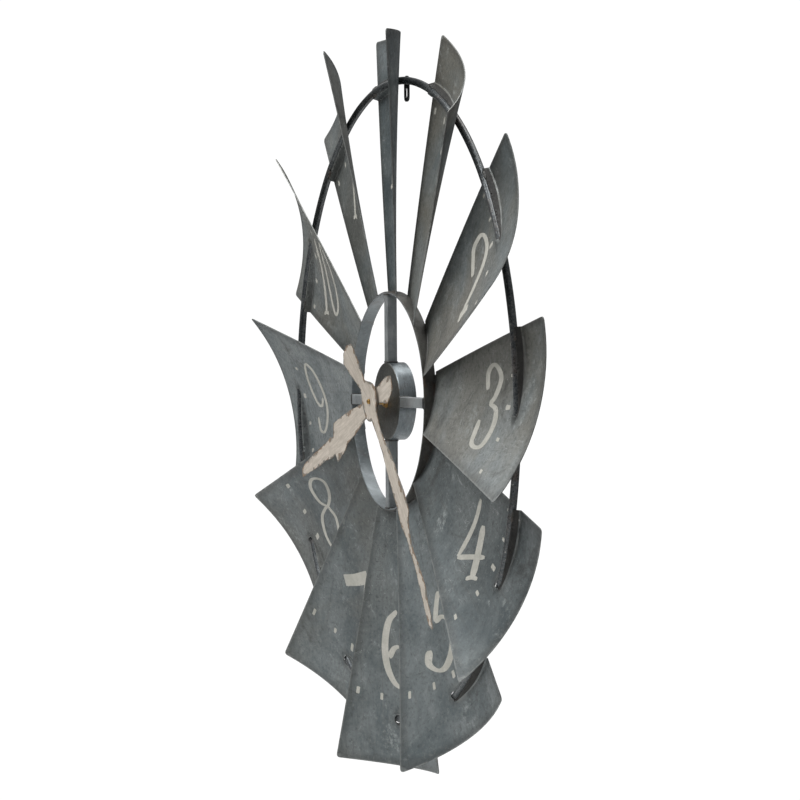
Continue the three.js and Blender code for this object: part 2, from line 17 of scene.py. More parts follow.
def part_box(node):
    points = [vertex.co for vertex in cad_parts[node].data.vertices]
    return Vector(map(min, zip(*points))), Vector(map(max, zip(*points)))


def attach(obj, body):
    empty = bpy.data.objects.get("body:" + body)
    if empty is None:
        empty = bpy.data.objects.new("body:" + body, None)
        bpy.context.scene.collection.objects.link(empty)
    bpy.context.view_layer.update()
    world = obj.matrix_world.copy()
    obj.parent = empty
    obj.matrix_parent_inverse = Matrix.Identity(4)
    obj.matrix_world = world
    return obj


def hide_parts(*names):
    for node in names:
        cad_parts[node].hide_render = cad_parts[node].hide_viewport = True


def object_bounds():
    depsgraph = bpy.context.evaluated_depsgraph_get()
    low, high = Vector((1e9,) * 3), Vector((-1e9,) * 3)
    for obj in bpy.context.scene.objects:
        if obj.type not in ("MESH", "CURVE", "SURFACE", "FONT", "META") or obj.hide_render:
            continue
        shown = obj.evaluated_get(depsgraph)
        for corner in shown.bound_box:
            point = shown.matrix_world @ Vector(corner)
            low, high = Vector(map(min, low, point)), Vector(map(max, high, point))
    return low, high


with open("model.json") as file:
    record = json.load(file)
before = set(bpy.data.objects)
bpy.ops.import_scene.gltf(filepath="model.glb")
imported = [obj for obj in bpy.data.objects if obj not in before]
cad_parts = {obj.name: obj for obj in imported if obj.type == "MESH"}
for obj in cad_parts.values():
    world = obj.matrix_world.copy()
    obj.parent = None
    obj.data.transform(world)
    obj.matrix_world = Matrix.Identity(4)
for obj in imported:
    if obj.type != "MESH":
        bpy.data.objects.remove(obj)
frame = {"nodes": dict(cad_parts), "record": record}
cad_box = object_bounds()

MM = 0.001
HOURS = range(1, 13)
GAP = 0.3 * MM
SHEET = 1.2 * MM
POLE = 0.01 * MM      # radius of the pinhole that a turned solid keeps on its axis

# ---------------------------------------------------------------- dimensions read from the frame

BAND_LOW, BAND_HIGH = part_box("inner_band")
BAND_RADIUS = BAND_HIGH.x
BAND_THICKNESS = 3 * MM
MID_Y = (BAND_LOW.y + BAND_HIGH.y) / 2

RING_LOW, RING_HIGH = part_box("outer_ring")
ROD_RADIUS = (RING_HIGH.y - RING_LOW.y) / 2
RING_RADIUS = RING_HIGH.x - ROD_RADIUS
RING_Y = (RING_HIGH.y + RING_LOW.y) / 2

CUP_LOW, CUP_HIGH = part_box("hub_cup")
CUP_RADIUS = CUP_HIGH.x
CUP_FRONT = CUP_LOW.y

SPOKE_LOW, SPOKE_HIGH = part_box("spoke_12")
SPOKE_HALF = SPOKE_HIGH.x
SPOKE_Y = (SPOKE_LOW.y + SPOKE_HIGH.y) / 2

STEM_LOW, STEM_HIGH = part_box("threaded_stem")
NUT_LOW, NUT_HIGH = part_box("hex_nut")
WASHER_LOW, WASHER_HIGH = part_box("brass_washer")
MINUTE_NUT_LOW, MINUTE_NUT_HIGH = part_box("minute_nut")
STEM_RADIUS = 4 * MM

HOUR_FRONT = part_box("hour_hand")[0].y
ARBOR_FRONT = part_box("minute_arbor")[0].y
MINUTE_FRONT = ARBOR_FRONT + 3.4 * MM
HAND_SHEET = 0.8 * MM
HOUR_ANGLE = math.radians(251)
MINUTE_ANGLE = math.radians(140.5)

# The blade is a sheet bent across its width; its chord, pitch and set change evenly from base to tip.
TIP_RADIUS = 450 * MM
BASE_U = 128 * MM
BASE_CHORD, TIP_CHORD = 76.6 * MM, 216.4 * MM
BASE_PITCH, TIP_PITCH = math.radians(12.5), math.radians(16.4)
BASE_OFFSET, TIP_OFFSET = 0.8 * MM, -11.2 * MM
BEND_RADIUS = 262 * MM
TIP_BOW = 2.4 * MM
COVER_RADIUS = ROD_RADIUS + SHEET / 2 + 0.35 * MM    # the half-round cover that is beaten over the hoop
SLOT_HALF = ROD_RADIUS + 0.12 * MM
SLOT_END = 9 * MM
COVER_END = 48 * MM
LIP_WIDTH = 3.2 * MM
LIP_ROWS = (0.5 * MM, 1.3 * MM, 2.3 * MM, LIP_WIDTH, 7.5 * MM)    # distances from the cover's edge
MOUTH_STEP = 0.012    # radians from a slot's mouth to the first point along its edges

SOLID_SLOTS = {row["node"]: row["material_slot"] for row in frame["record"]["subparts"]}


# ---------------------------------------------------------------- mesh helpers

def turn(point, angle):
    """Turns a point about the clock's axis, clockwise as the dial is read."""
    x, y, z = point
    return (x * math.cos(angle) + z * math.sin(angle), y, z * math.cos(angle) - x * math.sin(angle))


def rectangle(x_low, y_low, x_high, y_high):
    return [(x_low, y_low), (x_high, y_low), (x_high, y_high), (x_low, y_high)]


def add_piece(name, vertices, faces, material, slot, body="clock", sharp=40, bevel=0.0):
    """Makes a closed mesh into a piece that rides on a body, smooth apart from its sharp edges."""
    mesh = bpy.data.meshes.new(name)
    mesh.from_pydata([tuple(v) for v in vertices], [], faces)
    work = bmesh.new()
    work.from_mesh(mesh)
    bmesh.ops.recalc_face_normals(work, faces=work.faces)
    for face in work.faces:
        face.smooth = True
    for edge in work.edges:
        edge.smooth = edge.calc_face_angle(0) < math.radians(sharp)
    work.to_mesh(mesh)
    work.free()
    piece = bpy.data.objects.new(name, mesh)
    bpy.context.scene.collection.objects.link(piece)
    mesh.materials.append(material)
    if bevel:
        modifier = piece.modifiers.new("edges", "BEVEL")
        modifier.width = bevel
        modifier.segments = 2
        modifier.limit_method = "ANGLE"
        modifier.angle_limit = math.radians(sharp)
    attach(piece, body)
    return piece


def second_look(piece, material, chosen):
    """Gives another material to the faces that chosen(centre, normal) picks."""
    piece.data.materials.append(material)
    for face in piece.data.polygons:
        if chosen(face.center, face.normal):
            face.material_index = 1


def grid_faces(rows, columns, close_rows=False):
    """Quads between the neighbours of a grid of points, stored row after row. Each row is a closed loop,
    and close_rows joins the last row to the first."""
    faces = []
    for i in range(rows if close_rows else rows - 1):
        for j in range(columns):
            below = (i + 1) % rows * columns
            right = (j + 1) % columns
            faces.append((i * columns + j, i * columns + right, below + right, below + j))
    return faces


def round_corners(outline, radii, steps=5):
    """Cuts each corner of a closed outline to a small arc. radii is one number, or one for each corner."""
    if not hasattr(radii, "__len__"):
        radii = [radii] * len(outline)
    rounded = []
    for i, (point, radius) in enumerate(zip(outline, radii)):
        corner = Vector(point)
        if radius == 0:
            rounded.append(tuple(corner))
            continue
        arms = []
        for neighbour in (outline[i - 1], outline[(i + 1) % len(outline)]):
            arm = Vector(neighbour) - corner
            arms.append(corner + arm.normalized() * min(radius, arm.length * 0.49))
        for k in range(steps + 1):
            f = k / steps
            rounded.append(tuple(arms[0].lerp(corner, f).lerp(corner.lerp(arms[1], f), f)))
    return rounded


def lathe(profile, segments, centre=(0, 0), wobble=None):
    """Turns a closed outline of (radius, y) points about a Y axis at centre.
    wobble(angle, y) adds to the radius."""
    vertices = []
    for i in range(segments):
        angle = 2 * math.pi * i / segments
        for radius, y in profile:
            r = radius + (wobble(angle, y) if wobble else 0)
            vertices.append((centre[0] + r * math.sin(angle), y, centre[1] + r * math.cos(angle)))
    return vertices, grid_faces(segments, len(profile), close_rows=True)


def tube(path, radii, sides, closed):
    """A round rod along a path, with flat ends unless the path is a closed loop."""
    points = [Vector(p) for p in path]
    count = len(points)
    vertices = []
    for i, point in enumerate(points):
        before = points[i - 1] if i or closed else point
        after = points[(i + 1) % count] if i < count - 1 or closed else point
        along = (after - before).normalized()
        side = along.cross(Vector((0, 1, 0)))
        if side.length < 0.2:
            side = along.cross(Vector((1, 0, 0)))
        side.normalize()
        up = side.cross(along)
        for j in range(sides):
            a = 2 * math.pi * j / sides
            vertices.append(point + (side * math.cos(a) + up * math.sin(a)) * radii[i])
    faces = grid_faces(count, sides, close_rows=closed)
    if not closed:
        faces.append(tuple(range(sides)))
        faces.append(tuple(range(count * sides - sides, count * sides)))
    return vertices, faces


def joined(shapes):
    """One list of vertices and faces out of several."""
    vertices, faces = [], []
    for more_vertices, more_faces in shapes:
        start = len(vertices)
        vertices.extend(more_vertices)
        faces.extend(tuple(i + start for i in face) for face in more_faces)
    return vertices, faces


def inside(points, outlines):
    """Even-odd test of many points against closed outlines."""
    x, y = points[:, 0][:, None], points[:, 1][:, None]
    crossings = np.zeros(len(points), int)
    for outline in outlines:
        a = np.array(outline)
        b = np.roll(a, -1, axis=0)
        rise = b[:, 1] - a[:, 1]
        rise[rise == 0] = 1e-12
        spans = (a[:, 1] > y) != (b[:, 1] > y)
        crossings += (spans & (x < a[:, 0] + (y - a[:, 1]) / rise * (b[:, 0] - a[:, 0]))).sum(axis=1)
    return crossings % 2 == 1


def edge_distance(points, outlines):
    """Each point's distance to the nearest outline."""
    nearest = np.full(len(points), 1e9)
    for outline in outlines:
        a = np.array(outline)
        step = np.roll(a, -1, axis=0) - a
        away = points[:, None, :] - a[None]
        f = np.clip((away * step).sum(2) / np.maximum((step ** 2).sum(1), 1e-18), 0, 1)
        distance = np.hypot(*np.moveaxis(away - f[..., None] * step, 2, 0))
        nearest = np.minimum(nearest, distance.min(axis=1))
    return nearest


def fill(outlines, spacing, extra):
    """Points and triangles that fill closed outlines, with a grid and any extra points inside."""
    border = [p for outline in outlines for p in outline]
    edges = []
    start = 0
    for outline in outlines:
        count = len(outline)
        edges.extend((start + i, start + (i + 1) % count) for i in range(count))
        start += count
    low, high = np.min(border, axis=0), np.max(border, axis=0)
    across, along = np.meshgrid(*[np.arange(low[k] + spacing[k] / 2, high[k], spacing[k]) for k in (0, 1)])
    grid = np.column_stack([across.ravel(), along.ravel()])
    grid = grid[inside(grid, outlines) & (edge_distance(grid, outlines) > 0.35 * min(spacing))]
    if len(extra):
        extra = np.array(extra)
        extra = extra[inside(extra, outlines) & (edge_distance(extra, outlines) > 0.7 * MM)]
        apart = np.hypot(*(grid[:, None] - extra[None]).transpose(2, 0, 1)).min(axis=1)
        grid = np.vstack([grid[apart > 3 * MM], extra])
    points = [Vector(p) for p in border] + [Vector(p) for p in grid]
    found, _, triangles, *_ = delaunay_2d_cdt(points, edges, [], 0, 1e-9)
    found = np.array([tuple(p) for p in found])
    triangles = np.array(triangles)
    kept = inside(found[triangles].mean(axis=1), outlines)
    return found, [tuple(int(i) for i in t) for t in triangles[kept]]


def paint_points(mesh, pattern, values):
    """Stores named numbers on a sheet's points: one for all, or worked out from the pattern's points."""
    for name, value in values.items():
        value = value(pattern) if callable(value) else value * np.ones(len(pattern))
        attribute = mesh.attributes.new(name, "FLOAT", "POINT")
        attribute.data.foreach_set("value", np.tile(value, 2).astype(np.float32))


def sheet_piece(name, outlines, spacing, place, material, slot, body="clock", bevel=0.25 * MM, shift=0.0,
                extra=(), painted=None):
    """A thin solid with a flat pattern. place(point, side) puts a pattern point on the front (-1) or the
    back (1). Its "sheet" UVs are the pattern's own metres and its "edge" attribute is the distance to the
    pattern's edge. painted holds further attributes for paint_points."""
    points, triangles = fill(outlines, spacing, extra)
    count = len(points)
    vertices = [place(p, side) for side in (-1, 1) for p in points]
    faces = triangles + [tuple(count + i for i in reversed(t)) for t in triangles]
    directed = {(t[i], t[(i + 1) % 3]) for t in triangles for i in range(3)}
    faces += [(b, a, count + a, count + b) for a, b in directed if (b, a) not in directed]
    piece = add_piece(name, vertices, faces, material, slot, body, bevel=bevel)
    mesh = piece.data
    paint_points(mesh, points, {"edge": edge_distance(points, outlines)} | (painted or {}))
    corners = np.zeros(len(mesh.loops), np.int32)
    mesh.loops.foreach_get("vertex_index", corners)
    pattern = np.tile(points, (2, 1)) + [0, shift]
    mesh.uv_layers.new(name="sheet").data.foreach_set("uv", pattern[corners].astype(np.float32).ravel())
    return piece


# ---------------------------------------------------------------- materials

class Look:
    """A node material while it is put together around one Principled shader."""

    def __init__(self, name, metallic=0.0, specular=0.5):
        self.material = bpy.data.materials.new(name)
        self.material.use_nodes = True
        self.tree = self.material.node_tree
        self.shader = self.tree.nodes["Principled BSDF"]
        self.shader.inputs["Metallic"].default_value = metallic
        self.shader.inputs["Specular IOR Level"].default_value = specular
        self.place = self.add("ShaderNodeTexCoord").outputs["Object"]

    def add(self, kind, inputs=(), **settings):
        node = self.tree.nodes.new(kind)
        for key, value in settings.items():
            setattr(node, key, value)
        for key, value in dict(inputs).items():
            if isinstance(value, bpy.types.NodeSocket):
                self.tree.links.new(value, node.inputs[key])
            else:
                node.inputs[key].default_value = value
        return node

    def stretched(self, scale, source=None):
        """Texture coordinates scaled by a different amount along each axis."""
        inputs = {"Vector": source or self.place, "Scale": scale}
        return self.add("ShaderNodeMapping", inputs).outputs["Vector"]

    def sheet_uv(self, scale):
        uv = self.add("ShaderNodeUVMap", uv_map="sheet").outputs["UV"]
        return self.stretched(scale, uv)

    def noise(self, scale, detail=5, roughness=0.6, source=None, distortion=0.0):
        inputs = {"Vector": source or self.place, "Scale": scale, "Detail": detail,
                  "Roughness": roughness, "Distortion": distortion}
        return self.add("ShaderNodeTexNoise", inputs).outputs["Fac"]

    def lines(self, source, width):
        """Thin wandering lines, like scratches."""
        away = self.math("ABSOLUTE", self.math("SUBTRACT", self.noise(1.0, 2, 0.5, source), 0.5))
        return self.fade(away, width * 0.3, width, 1, 0)

    def fade(self, value, low, high, start=0.0, end=1.0):
        """Maps low..high smoothly to start..end."""
        inputs = {"Value": value, "From Min": low, "From Max": high, "To Min": start, "To Max": end}
        return self.add("ShaderNodeMapRange", inputs, interpolation_type="SMOOTHSTEP").outputs["Result"]

    def math(self, operation, a, b=0.0):
        return self.add("ShaderNodeMath", {0: a, 1: b}, operation=operation).outputs[0]

    def plus(self, a, b):
        return self.math("ADD", a, b)

    def times(self, a, b):
        return self.math("MULTIPLY", a, b)

    def mix(self, share, under, over):
        """Lays a share of one colour over another. A colour is a socket or (r, g, b)."""
        under, over = (c if isinstance(c, bpy.types.NodeSocket) else (*c, 1.0) for c in (under, over))
        return self.add("ShaderNodeMix", {0: share, 6: under, 7: over}, data_type="RGBA").outputs[2]

    def attribute(self, name):
        return self.add("ShaderNodeAttribute", attribute_name=name).outputs["Fac"]

    def bump(self, height, depth):
        node = self.add("ShaderNodeBump", {"Height": height, "Distance": depth, "Strength": 1.0})
        self.tree.links.new(node.outputs["Normal"], self.shader.inputs["Normal"])

    def finish(self, colour, roughness):
        self.tree.links.new(colour, self.shader.inputs["Base Color"])
        self.tree.links.new(roughness, self.shader.inputs["Roughness"])
        return self.material


def zinc_tones(look, blotches, clouds):
    """The zinc's colour: dull to light, grey to brown, as far as each blade has weathered; the dull-to-light
    share also holds painted shade and light for how each blade faces the lamps.
    """
    # light: each blade's weathered tone, with painted shade and light for how it faces the lamps
    light = look.attribute("light")
    tone = look.fade(blotches, 0.3, 0.7)
    dull = look.mix(tone, (0.07, 0.09, 0.098), (0.155, 0.18, 0.185))
    bright = look.mix(tone, (0.15, 0.175, 0.18), (0.27, 0.295, 0.295))
    browned = look.mix(light, (0.12, 0.113, 0.093), (0.235, 0.222, 0.185))
    brown_share = look.times(look.fade(clouds, 0.36, 0.6, 0.1, 0.95), look.attribute("brown"))
    return look.mix(brown_share, look.mix(light, dull, bright), browned)


def zinc_weather(look, colour, clouds, mottling, oxide):
    """Streaks out along the blade, fine dark and light mottling, white oxide and pale specks."""
    streaks = look.noise(1.0, 4, 0.7, look.sheet_uv((170, 7, 1)), 0.3)
    specks = look.times(look.fade(look.noise(240, 4, 0.75), 0.655, 0.7), look.fade(clouds, 0.4, 0.6))
    colour = look.mix(look.fade(streaks, 0.52, 0.74, 0, 0.4), colour, (0.085, 0.085, 0.08))
    colour = look.mix(look.fade(mottling, 0.5, 0.7, 0, 0.6), colour, (0.07, 0.075, 0.075))
    colour = look.mix(look.fade(mottling, 0.45, 0.3, 0, 0.3), colour, (0.33, 0.345, 0.335))
    colour = look.mix(look.times(oxide, 0.55), colour, (0.4, 0.43, 0.42))
    return look.mix(look.times(specks, 0.9), colour, (0.55, 0.56, 0.53))


def zinc_handling(look, colour, clouds, scratches):
    """Bright scratches, dark scores and blotted stains."""
    scores = look.times(look.lines(look.sheet_uv((26, 90, 1)), 0.008), look.fade(clouds, 0.5, 0.58))
    stains = look.fade(look.noise(8, 8, 0.78, distortion=1.2), 0.54, 0.68, 0, 0.65)
    colour = look.mix(look.times(scratches, 0.5), colour, (0.42, 0.44, 0.43))
    colour = look.mix(look.times(scores, 0.45), colour, (0.05, 0.05, 0.048))
    return look.mix(stains, colour, (0.055, 0.056, 0.052))


def zinc_edges(look, colour, mottling):
    """Sheet burnt beside the welds, with painted shade beside the rod; grime along its edges; rims rubbed
    bright with a painted highlight on them, and a painted highlight on the lips' creases.
    """
    edge = look.attribute("edge")
    # the weld's real browning, plus painted shade beside the rod and on its outboard lip
    heat = look.fade(look.attribute("heat"), 0, 1, 0, 0.85)
    burnt_and_shaded = look.times(heat, look.fade(mottling, 0.25, 0.6, 0.6, 1))
    # painted highlight: a light line along the sheet's rims, partly real rubbing, and along the lips' creases
    rubbed_and_highlit = look.math("MAXIMUM", look.fade(edge, 0.0004, 0.0022, 1, 0), look.attribute("crease_highlight"))
    rim = look.times(rubbed_and_highlit, look.fade(look.noise(60), 0.36, 0.52))
    colour = look.mix(burnt_and_shaded, colour, (0.052, 0.045, 0.036))
    colour = look.mix(look.fade(edge, 0.002, 0.014, 0.42, 0), colour, (0.045, 0.045, 0.042))
    return look.mix(look.times(rim, 0.4), colour, (0.3, 0.31, 0.3))


def galvanised_sheet():
    """Weathered zinc. The blade's attributes say how light and brown it is, where it was welded and where it
    lies in painted shade by the rod, and where its creases get a painted highlight; its lightness holds
    painted shade and light as well.
    """
    look = Look("galvanised_sheet", metallic=0.4, specular=0.4)
    blotches = look.noise(15, 7, 0.68, distortion=0.6)
    clouds = look.noise(6, 5, 0.6, distortion=0.5)
    mottling = look.noise(190, 6, 0.72, distortion=0.3)
    oxide = look.times(look.fade(look.noise(20, 9, 0.78, distortion=0.5), 0.54, 0.63),
                       look.fade(look.noise(150, 6, 0.8), 0.46, 0.58))
    scratches = look.times(look.lines(look.sheet_uv((75, 24, 1)), 0.006), look.fade(blotches, 0.5, 0.6))
    colour = zinc_tones(look, blotches, clouds)
    colour = zinc_weather(look, colour, clouds, mottling, oxide)
    colour = zinc_handling(look, colour, clouds, scratches)
    colour = zinc_edges(look, colour, mottling)
    height = look.plus(look.times(blotches, 0.6), look.times(mottling, 0.12))
    look.bump(look.math("SUBTRACT", height, look.times(scratches, 0.05)), 0.0012)
    return look.finish(colour, look.plus(look.fade(mottling, 0.3, 0.7, 0.38, 0.56), look.times(oxide, 0.2)))


def worn_steel(name, dark, light, worn, metallic=0.5, rust=0.0, grain=(60, 60, 60), gloss=0.45, specks=0.6):
    """Handled steel: two tones, brushed scratches along the grain, bright worn spots and some rust."""
    look = Look(name, metallic=metallic)
    blotches = look.noise(28, 6, 0.65, distortion=0.5)
    scratches = look.noise(6.0, 4, 0.7, look.stretched(grain))
    colour = look.mix(look.fade(blotches, 0.3, 0.7), dark, light)
    colour = look.mix(look.fade(scratches, 0.5, 0.74, 0, 0.45), colour, worn)
    colour = look.mix(look.fade(look.noise(330, 3, 0.6), 0.67, 0.72, 0, specks), colour, worn)
    if rust:
        patches = look.fade(look.noise(17, 7, 0.7, distortion=0.8), 0.5, 0.68, 0, rust)
        colour = look.mix(patches, colour, (0.105, 0.06, 0.035))
    look.bump(look.plus(look.times(blotches, 0.6), look.times(scratches, 0.4)), 0.0006)
    return look.finish(colour, look.fade(scratches, 0.3, 0.7, gloss - 0.08, gloss + 0.16))


def numeral_paint():
    """Thin off-white paint, rubbed through to the zinc here and there."""
    look = Look("numeral_paint", specular=0.3)
    patches = look.noise(60, 6, 0.7)
    grain = look.noise(380, 4, 0.7)
    colour = look.mix(look.fade(patches, 0.35, 0.65), (0.42, 0.415, 0.37), (0.52, 0.51, 0.46))
    colour = look.mix(look.fade(grain, 0.45, 0.7, 0, 0.4), colour, (0.4, 0.39, 0.34))
    rubbed = look.times(look.fade(patches, 0.56, 0.68), look.fade(grain, 0.46, 0.6))
    colour = look.mix(look.times(rubbed, 0.75), colour, (0.2, 0.21, 0.205))
    look.bump(grain, 0.0002)
    return look.finish(colour, look.fade(grain, 0.3, 0.7, 0.55, 0.75))


def hand_paint():
    """Chalky cream paint, brushed along the hand, scraped to brown primer and steel at the edges."""
    look = Look("hand_paint", specular=0.3)
    brushing = look.noise(1.0, 5, 0.65, look.sheet_uv((330, 28, 1)))
    mottling = look.noise(75, 6, 0.65)
    grain = look.noise(520, 3, 0.6)
    colour = look.mix(look.fade(brushing, 0.35, 0.68), (0.43, 0.385, 0.325), (0.57, 0.515, 0.45))
    colour = look.mix(look.fade(mottling, 0.45, 0.7, 0, 0.55), colour, (0.38, 0.33, 0.275))
    chips = look.fade(grain, 0.62, 0.7, 0, 0.5)
    colour = look.mix(chips, colour, (0.25, 0.21, 0.17))
    reach = look.fade(look.noise(58, 5, 0.7), 0.4, 0.68, 0.0002, 0.0052)
    bare_patch = look.math("GREATER_THAN", look.attribute("bare"), look.fade(mottling, 0.3, 0.7, 0.15, 0.7))
    scraped = look.math("MAXIMUM", look.math("LESS_THAN", look.attribute("edge"), reach), bare_patch)
    bare = look.mix(look.fade(mottling, 0.44, 0.56), (0.16, 0.095, 0.05), (0.12, 0.12, 0.11))
    colour = look.mix(look.times(scraped, 0.8), colour, bare)
    look.bump(look.plus(brushing, look.times(scraped, -0.8)), 0.00025)
    return look.finish(colour, look.fade(grain, 0.3, 0.7, 0.6, 0.8))


def grained(name, dark, light, metallic, rough, scale=900, depth=0.00005, blotch=40):
    """Moulded, turned or painted: two close tones, a fine surface grain and uneven gloss."""
    look = Look(name, metallic)
    fine = look.noise(scale, 3, 0.6)
    broad = look.noise(blotch, 5, 0.6)
    mixed = look.plus(look.times(fine, 0.4), look.times(broad, 0.6))
    colour = look.mix(look.fade(mixed, 0.38, 0.62), dark, light)
    look.bump(fine, depth)
    return look.finish(colour, look.fade(broad, 0.3, 0.7, *rough))


def wound_wire():
    """Fine enamelled wire, wound round the bobbin in close turns."""
    look = Look("wound_wire", metallic=0.85)
    winding = look.add("ShaderNodeTexWave", {"Vector": look.place, "Scale": 900.0}, bands_direction="Z")
    tone = look.noise(260, 4, 0.6)
    colour = look.mix(look.fade(tone, 0.35, 0.65), (0.32, 0.12, 0.05), (0.52, 0.24, 0.11))
    look.bump(winding.outputs["Fac"], 0.00006)
    return look.finish(colour, look.fade(tone, 0.3, 0.7, 0.3, 0.45))


def cell_jacket():
    """A plain shrink jacket, dark grey with a dull gold band at the positive end, and no print."""
    look = Look("cell_jacket", metallic=0.3)
    along = look.add("ShaderNodeSeparateXYZ", {"Vector": look.place}).outputs["X"]
    band = look.math("GREATER_THAN", along, 14.5 * MM)
    scuffs = look.noise(240, 5, 0.7)
    jacket = look.mix(look.fade(scuffs, 0.35, 0.7), (0.04, 0.045, 0.05), (0.075, 0.08, 0.085))
    colour = look.mix(band, jacket, (0.36, 0.3, 0.2))
    look.bump(scuffs, 0.00004)
    return look.finish(colour, look.fade(scuffs, 0.3, 0.7, 0.28, 0.42))


LOOKS = {
    "sheet": galvanised_sheet(),
    "band": worn_steel("band_steel", (0.13, 0.15, 0.158), (0.21, 0.235, 0.245), (0.36, 0.39, 0.4), rust=0.25,
                       grain=(30, 30, 90), gloss=0.36, specks=0.15),
    # the band's outer face between the blade roots: rust, and painted shade, darker than its inner face
    "band_outside_rust_and_shade": worn_steel("band_outside_rust_and_shade", (0.045, 0.043, 0.038), (0.1, 0.1, 0.092), (0.17, 0.17, 0.155),
                               rust=0.85, gloss=0.5, specks=0.5),
    "spoke": worn_steel("spoke_steel", (0.17, 0.185, 0.19), (0.3, 0.32, 0.325), (0.42, 0.44, 0.45),
                        rust=0.2, grain=(120, 120, 14), specks=0.3),
    "cup": worn_steel("cup_steel", (0.105, 0.122, 0.13), (0.215, 0.24, 0.252), (0.36, 0.4, 0.42),
                      metallic=0.85, rust=0.3, grain=(14, 150, 14), gloss=0.33, specks=0.15),
    # the cup's front face: darker than its side, partly its own brown, partly painted shade under the hands
    "cup_face_shaded": worn_steel("cup_face_shaded", (0.045, 0.047, 0.042), (0.095, 0.097, 0.088), (0.18, 0.185, 0.17),
                           rust=0.4, gloss=0.38, specks=0.15),
    "rod": worn_steel("rod_steel", (0.04, 0.046, 0.05), (0.095, 0.105, 0.11), (0.3, 0.3, 0.28), rust=0.35,
                      gloss=0.3, specks=0.8),
    "weld": worn_steel("weld_steel", (0.03, 0.032, 0.03), (0.1, 0.1, 0.095), (0.2, 0.2, 0.19), rust=0.5,
                       gloss=0.5),
    # painted shadow: the near-black look of each slot's outboard lip, beside the hoop
    "slot": worn_steel("slot_lip_shadow", (0.012, 0.012, 0.011), (0.035, 0.034, 0.031), (0.07, 0.068, 0.06),
                       metallic=0.2, gloss=0.6, specks=0.3),
    "numeral": numeral_paint(),
    "hand": hand_paint(),
    "galvanised_steel": worn_steel("plain_steel", (0.12, 0.13, 0.13), (0.24, 0.25, 0.25), (0.35, 0.36, 0.35)),
    "rod_steel": worn_steel("dark_steel", (0.04, 0.045, 0.05), (0.11, 0.12, 0.12), (0.28, 0.28, 0.26)),
    "cream_paint": grained("cream_paint", (0.42, 0.36, 0.28), (0.56, 0.49, 0.4), 0, (0.6, 0.8)),
    "black_paint": grained("black_paint", (0.012, 0.012, 0.013), (0.03, 0.03, 0.032), 0.2, (0.35, 0.55), 300,
                           0.0001),
    "brass": grained("brass", (0.34, 0.2, 0.065), (0.56, 0.37, 0.14), 0.95, (0.24, 0.42), 700, 0.00003, 160),
    "copper_wire": wound_wire(),
    "bright_steel": grained("bright_steel", (0.36, 0.37, 0.38), (0.52, 0.53, 0.54), 0.95, (0.25, 0.4), 600,
                            0.00003),
    "cell_jacket": cell_jacket(),
    "black_plastic": grained("black_plastic", (0.012, 0.012, 0.013), (0.028, 0.028, 0.03), 0, (0.42, 0.6),
                             1400),
    "white_plastic": grained("white_plastic", (0.62, 0.62, 0.57), (0.74, 0.74, 0.69), 0, (0.4, 0.55), 1200),
    "rubber": grained("rubber", (0.012, 0.012, 0.012), (0.03, 0.03, 0.029), 0, (0.75, 0.92), 1600, 0.00008),
    "circuit_board": grained("circuit_board", (0.02, 0.085, 0.03), (0.035, 0.13, 0.05), 0, (0.3, 0.45), 700),
}

for node, piece in frame["nodes"].items():
    piece.data.materials.clear()
    piece.data.materials.append(LOOKS[SOLID_SLOTS[node]])


# ---------------------------------------------------------------- blades

def blade_section(u, c):
    """(t, y, tilt of the normal, chord) of the sheet's middle surface at u, from c = -0.5 at the
    anticlockwise edge to 0.5 at the clockwise edge."""
    s = (u - BASE_U) / (TIP_RADIUS - BASE_U)
    chord = BASE_CHORD + s * (TIP_CHORD - BASE_CHORD)
    pitch = BASE_PITCH + s * (TIP_PITCH - BASE_PITCH)
    offset = BASE_OFFSET + s * (TIP_OFFSET - BASE_OFFSET)
    half_bend = math.asin(chord / 2 / BEND_RADIUS)
    bend = 2 * c * half_bend
    along = BEND_RADIUS * math.sin(bend)
    bulge = BEND_RADIUS * (math.cos(bend) - math.cos(half_bend))
    t = along * math.cos(pitch) + bulge * math.sin(pitch)
    y = MID_Y + offset - along * math.sin(pitch) + bulge * math.cos(pitch)
    return t, y, pitch + bend, chord


def hand_bent(t, u, hour):
    """How far each blade strays from the pattern, along Y: they were bent by hand."""
    chance = random.Random(hour)
    set_back, ripple, twist = (chance.uniform(-1, 1) * 0.6 * MM for _ in range(3))
    reach = (u - BAND_RADIUS) / TIP_RADIUS
    return reach * (set_back - 0.8 * MM + ripple * math.sin(9 * u + hour) + twist * math.sin(40 * t + 5 * u))


def smoothstep(f):
    f = min(max(f, 0.0), 1.0)
    return f * f * (3 - 2 * f)


def pressed(t, u, y):
    """How far the sheet is beaten forwards at the hoop: the slot's lips lie level with the middle of the rod,
    and past the slot's end the sheet makes a half-round cover over it."""
    aside = abs(math.hypot(t, u) - RING_RADIUS)
    if aside < COVER_RADIUS:
        covered = smoothstep((t - SLOT_END) / (4 * MM) + 1)
        formed = RING_Y - math.sqrt(COVER_RADIUS ** 2 - aside ** 2) * covered
    else:
        formed = RING_Y + smoothstep((aside - COVER_RADIUS) / LIP_WIDTH) * (y - RING_Y)
    return min(0.0, formed - y)


def on_blade(t, u, hour, lift=0.0):
    """The point (t, u) of an hour's blade, lift metres behind the sheet's middle surface."""
    c = 0.0
    for _ in range(8):
        found = blade_section(u, c)
        c += (t - found[0]) / found[3]
    _, y, normal, _ = blade_section(u, c)
    y += pressed(t, u, y) + hand_bent(t, u, hour)
    point = (t + lift * math.sin(normal), y + lift * math.cos(normal), u)
    return turn(point, math.radians(30 * hour))


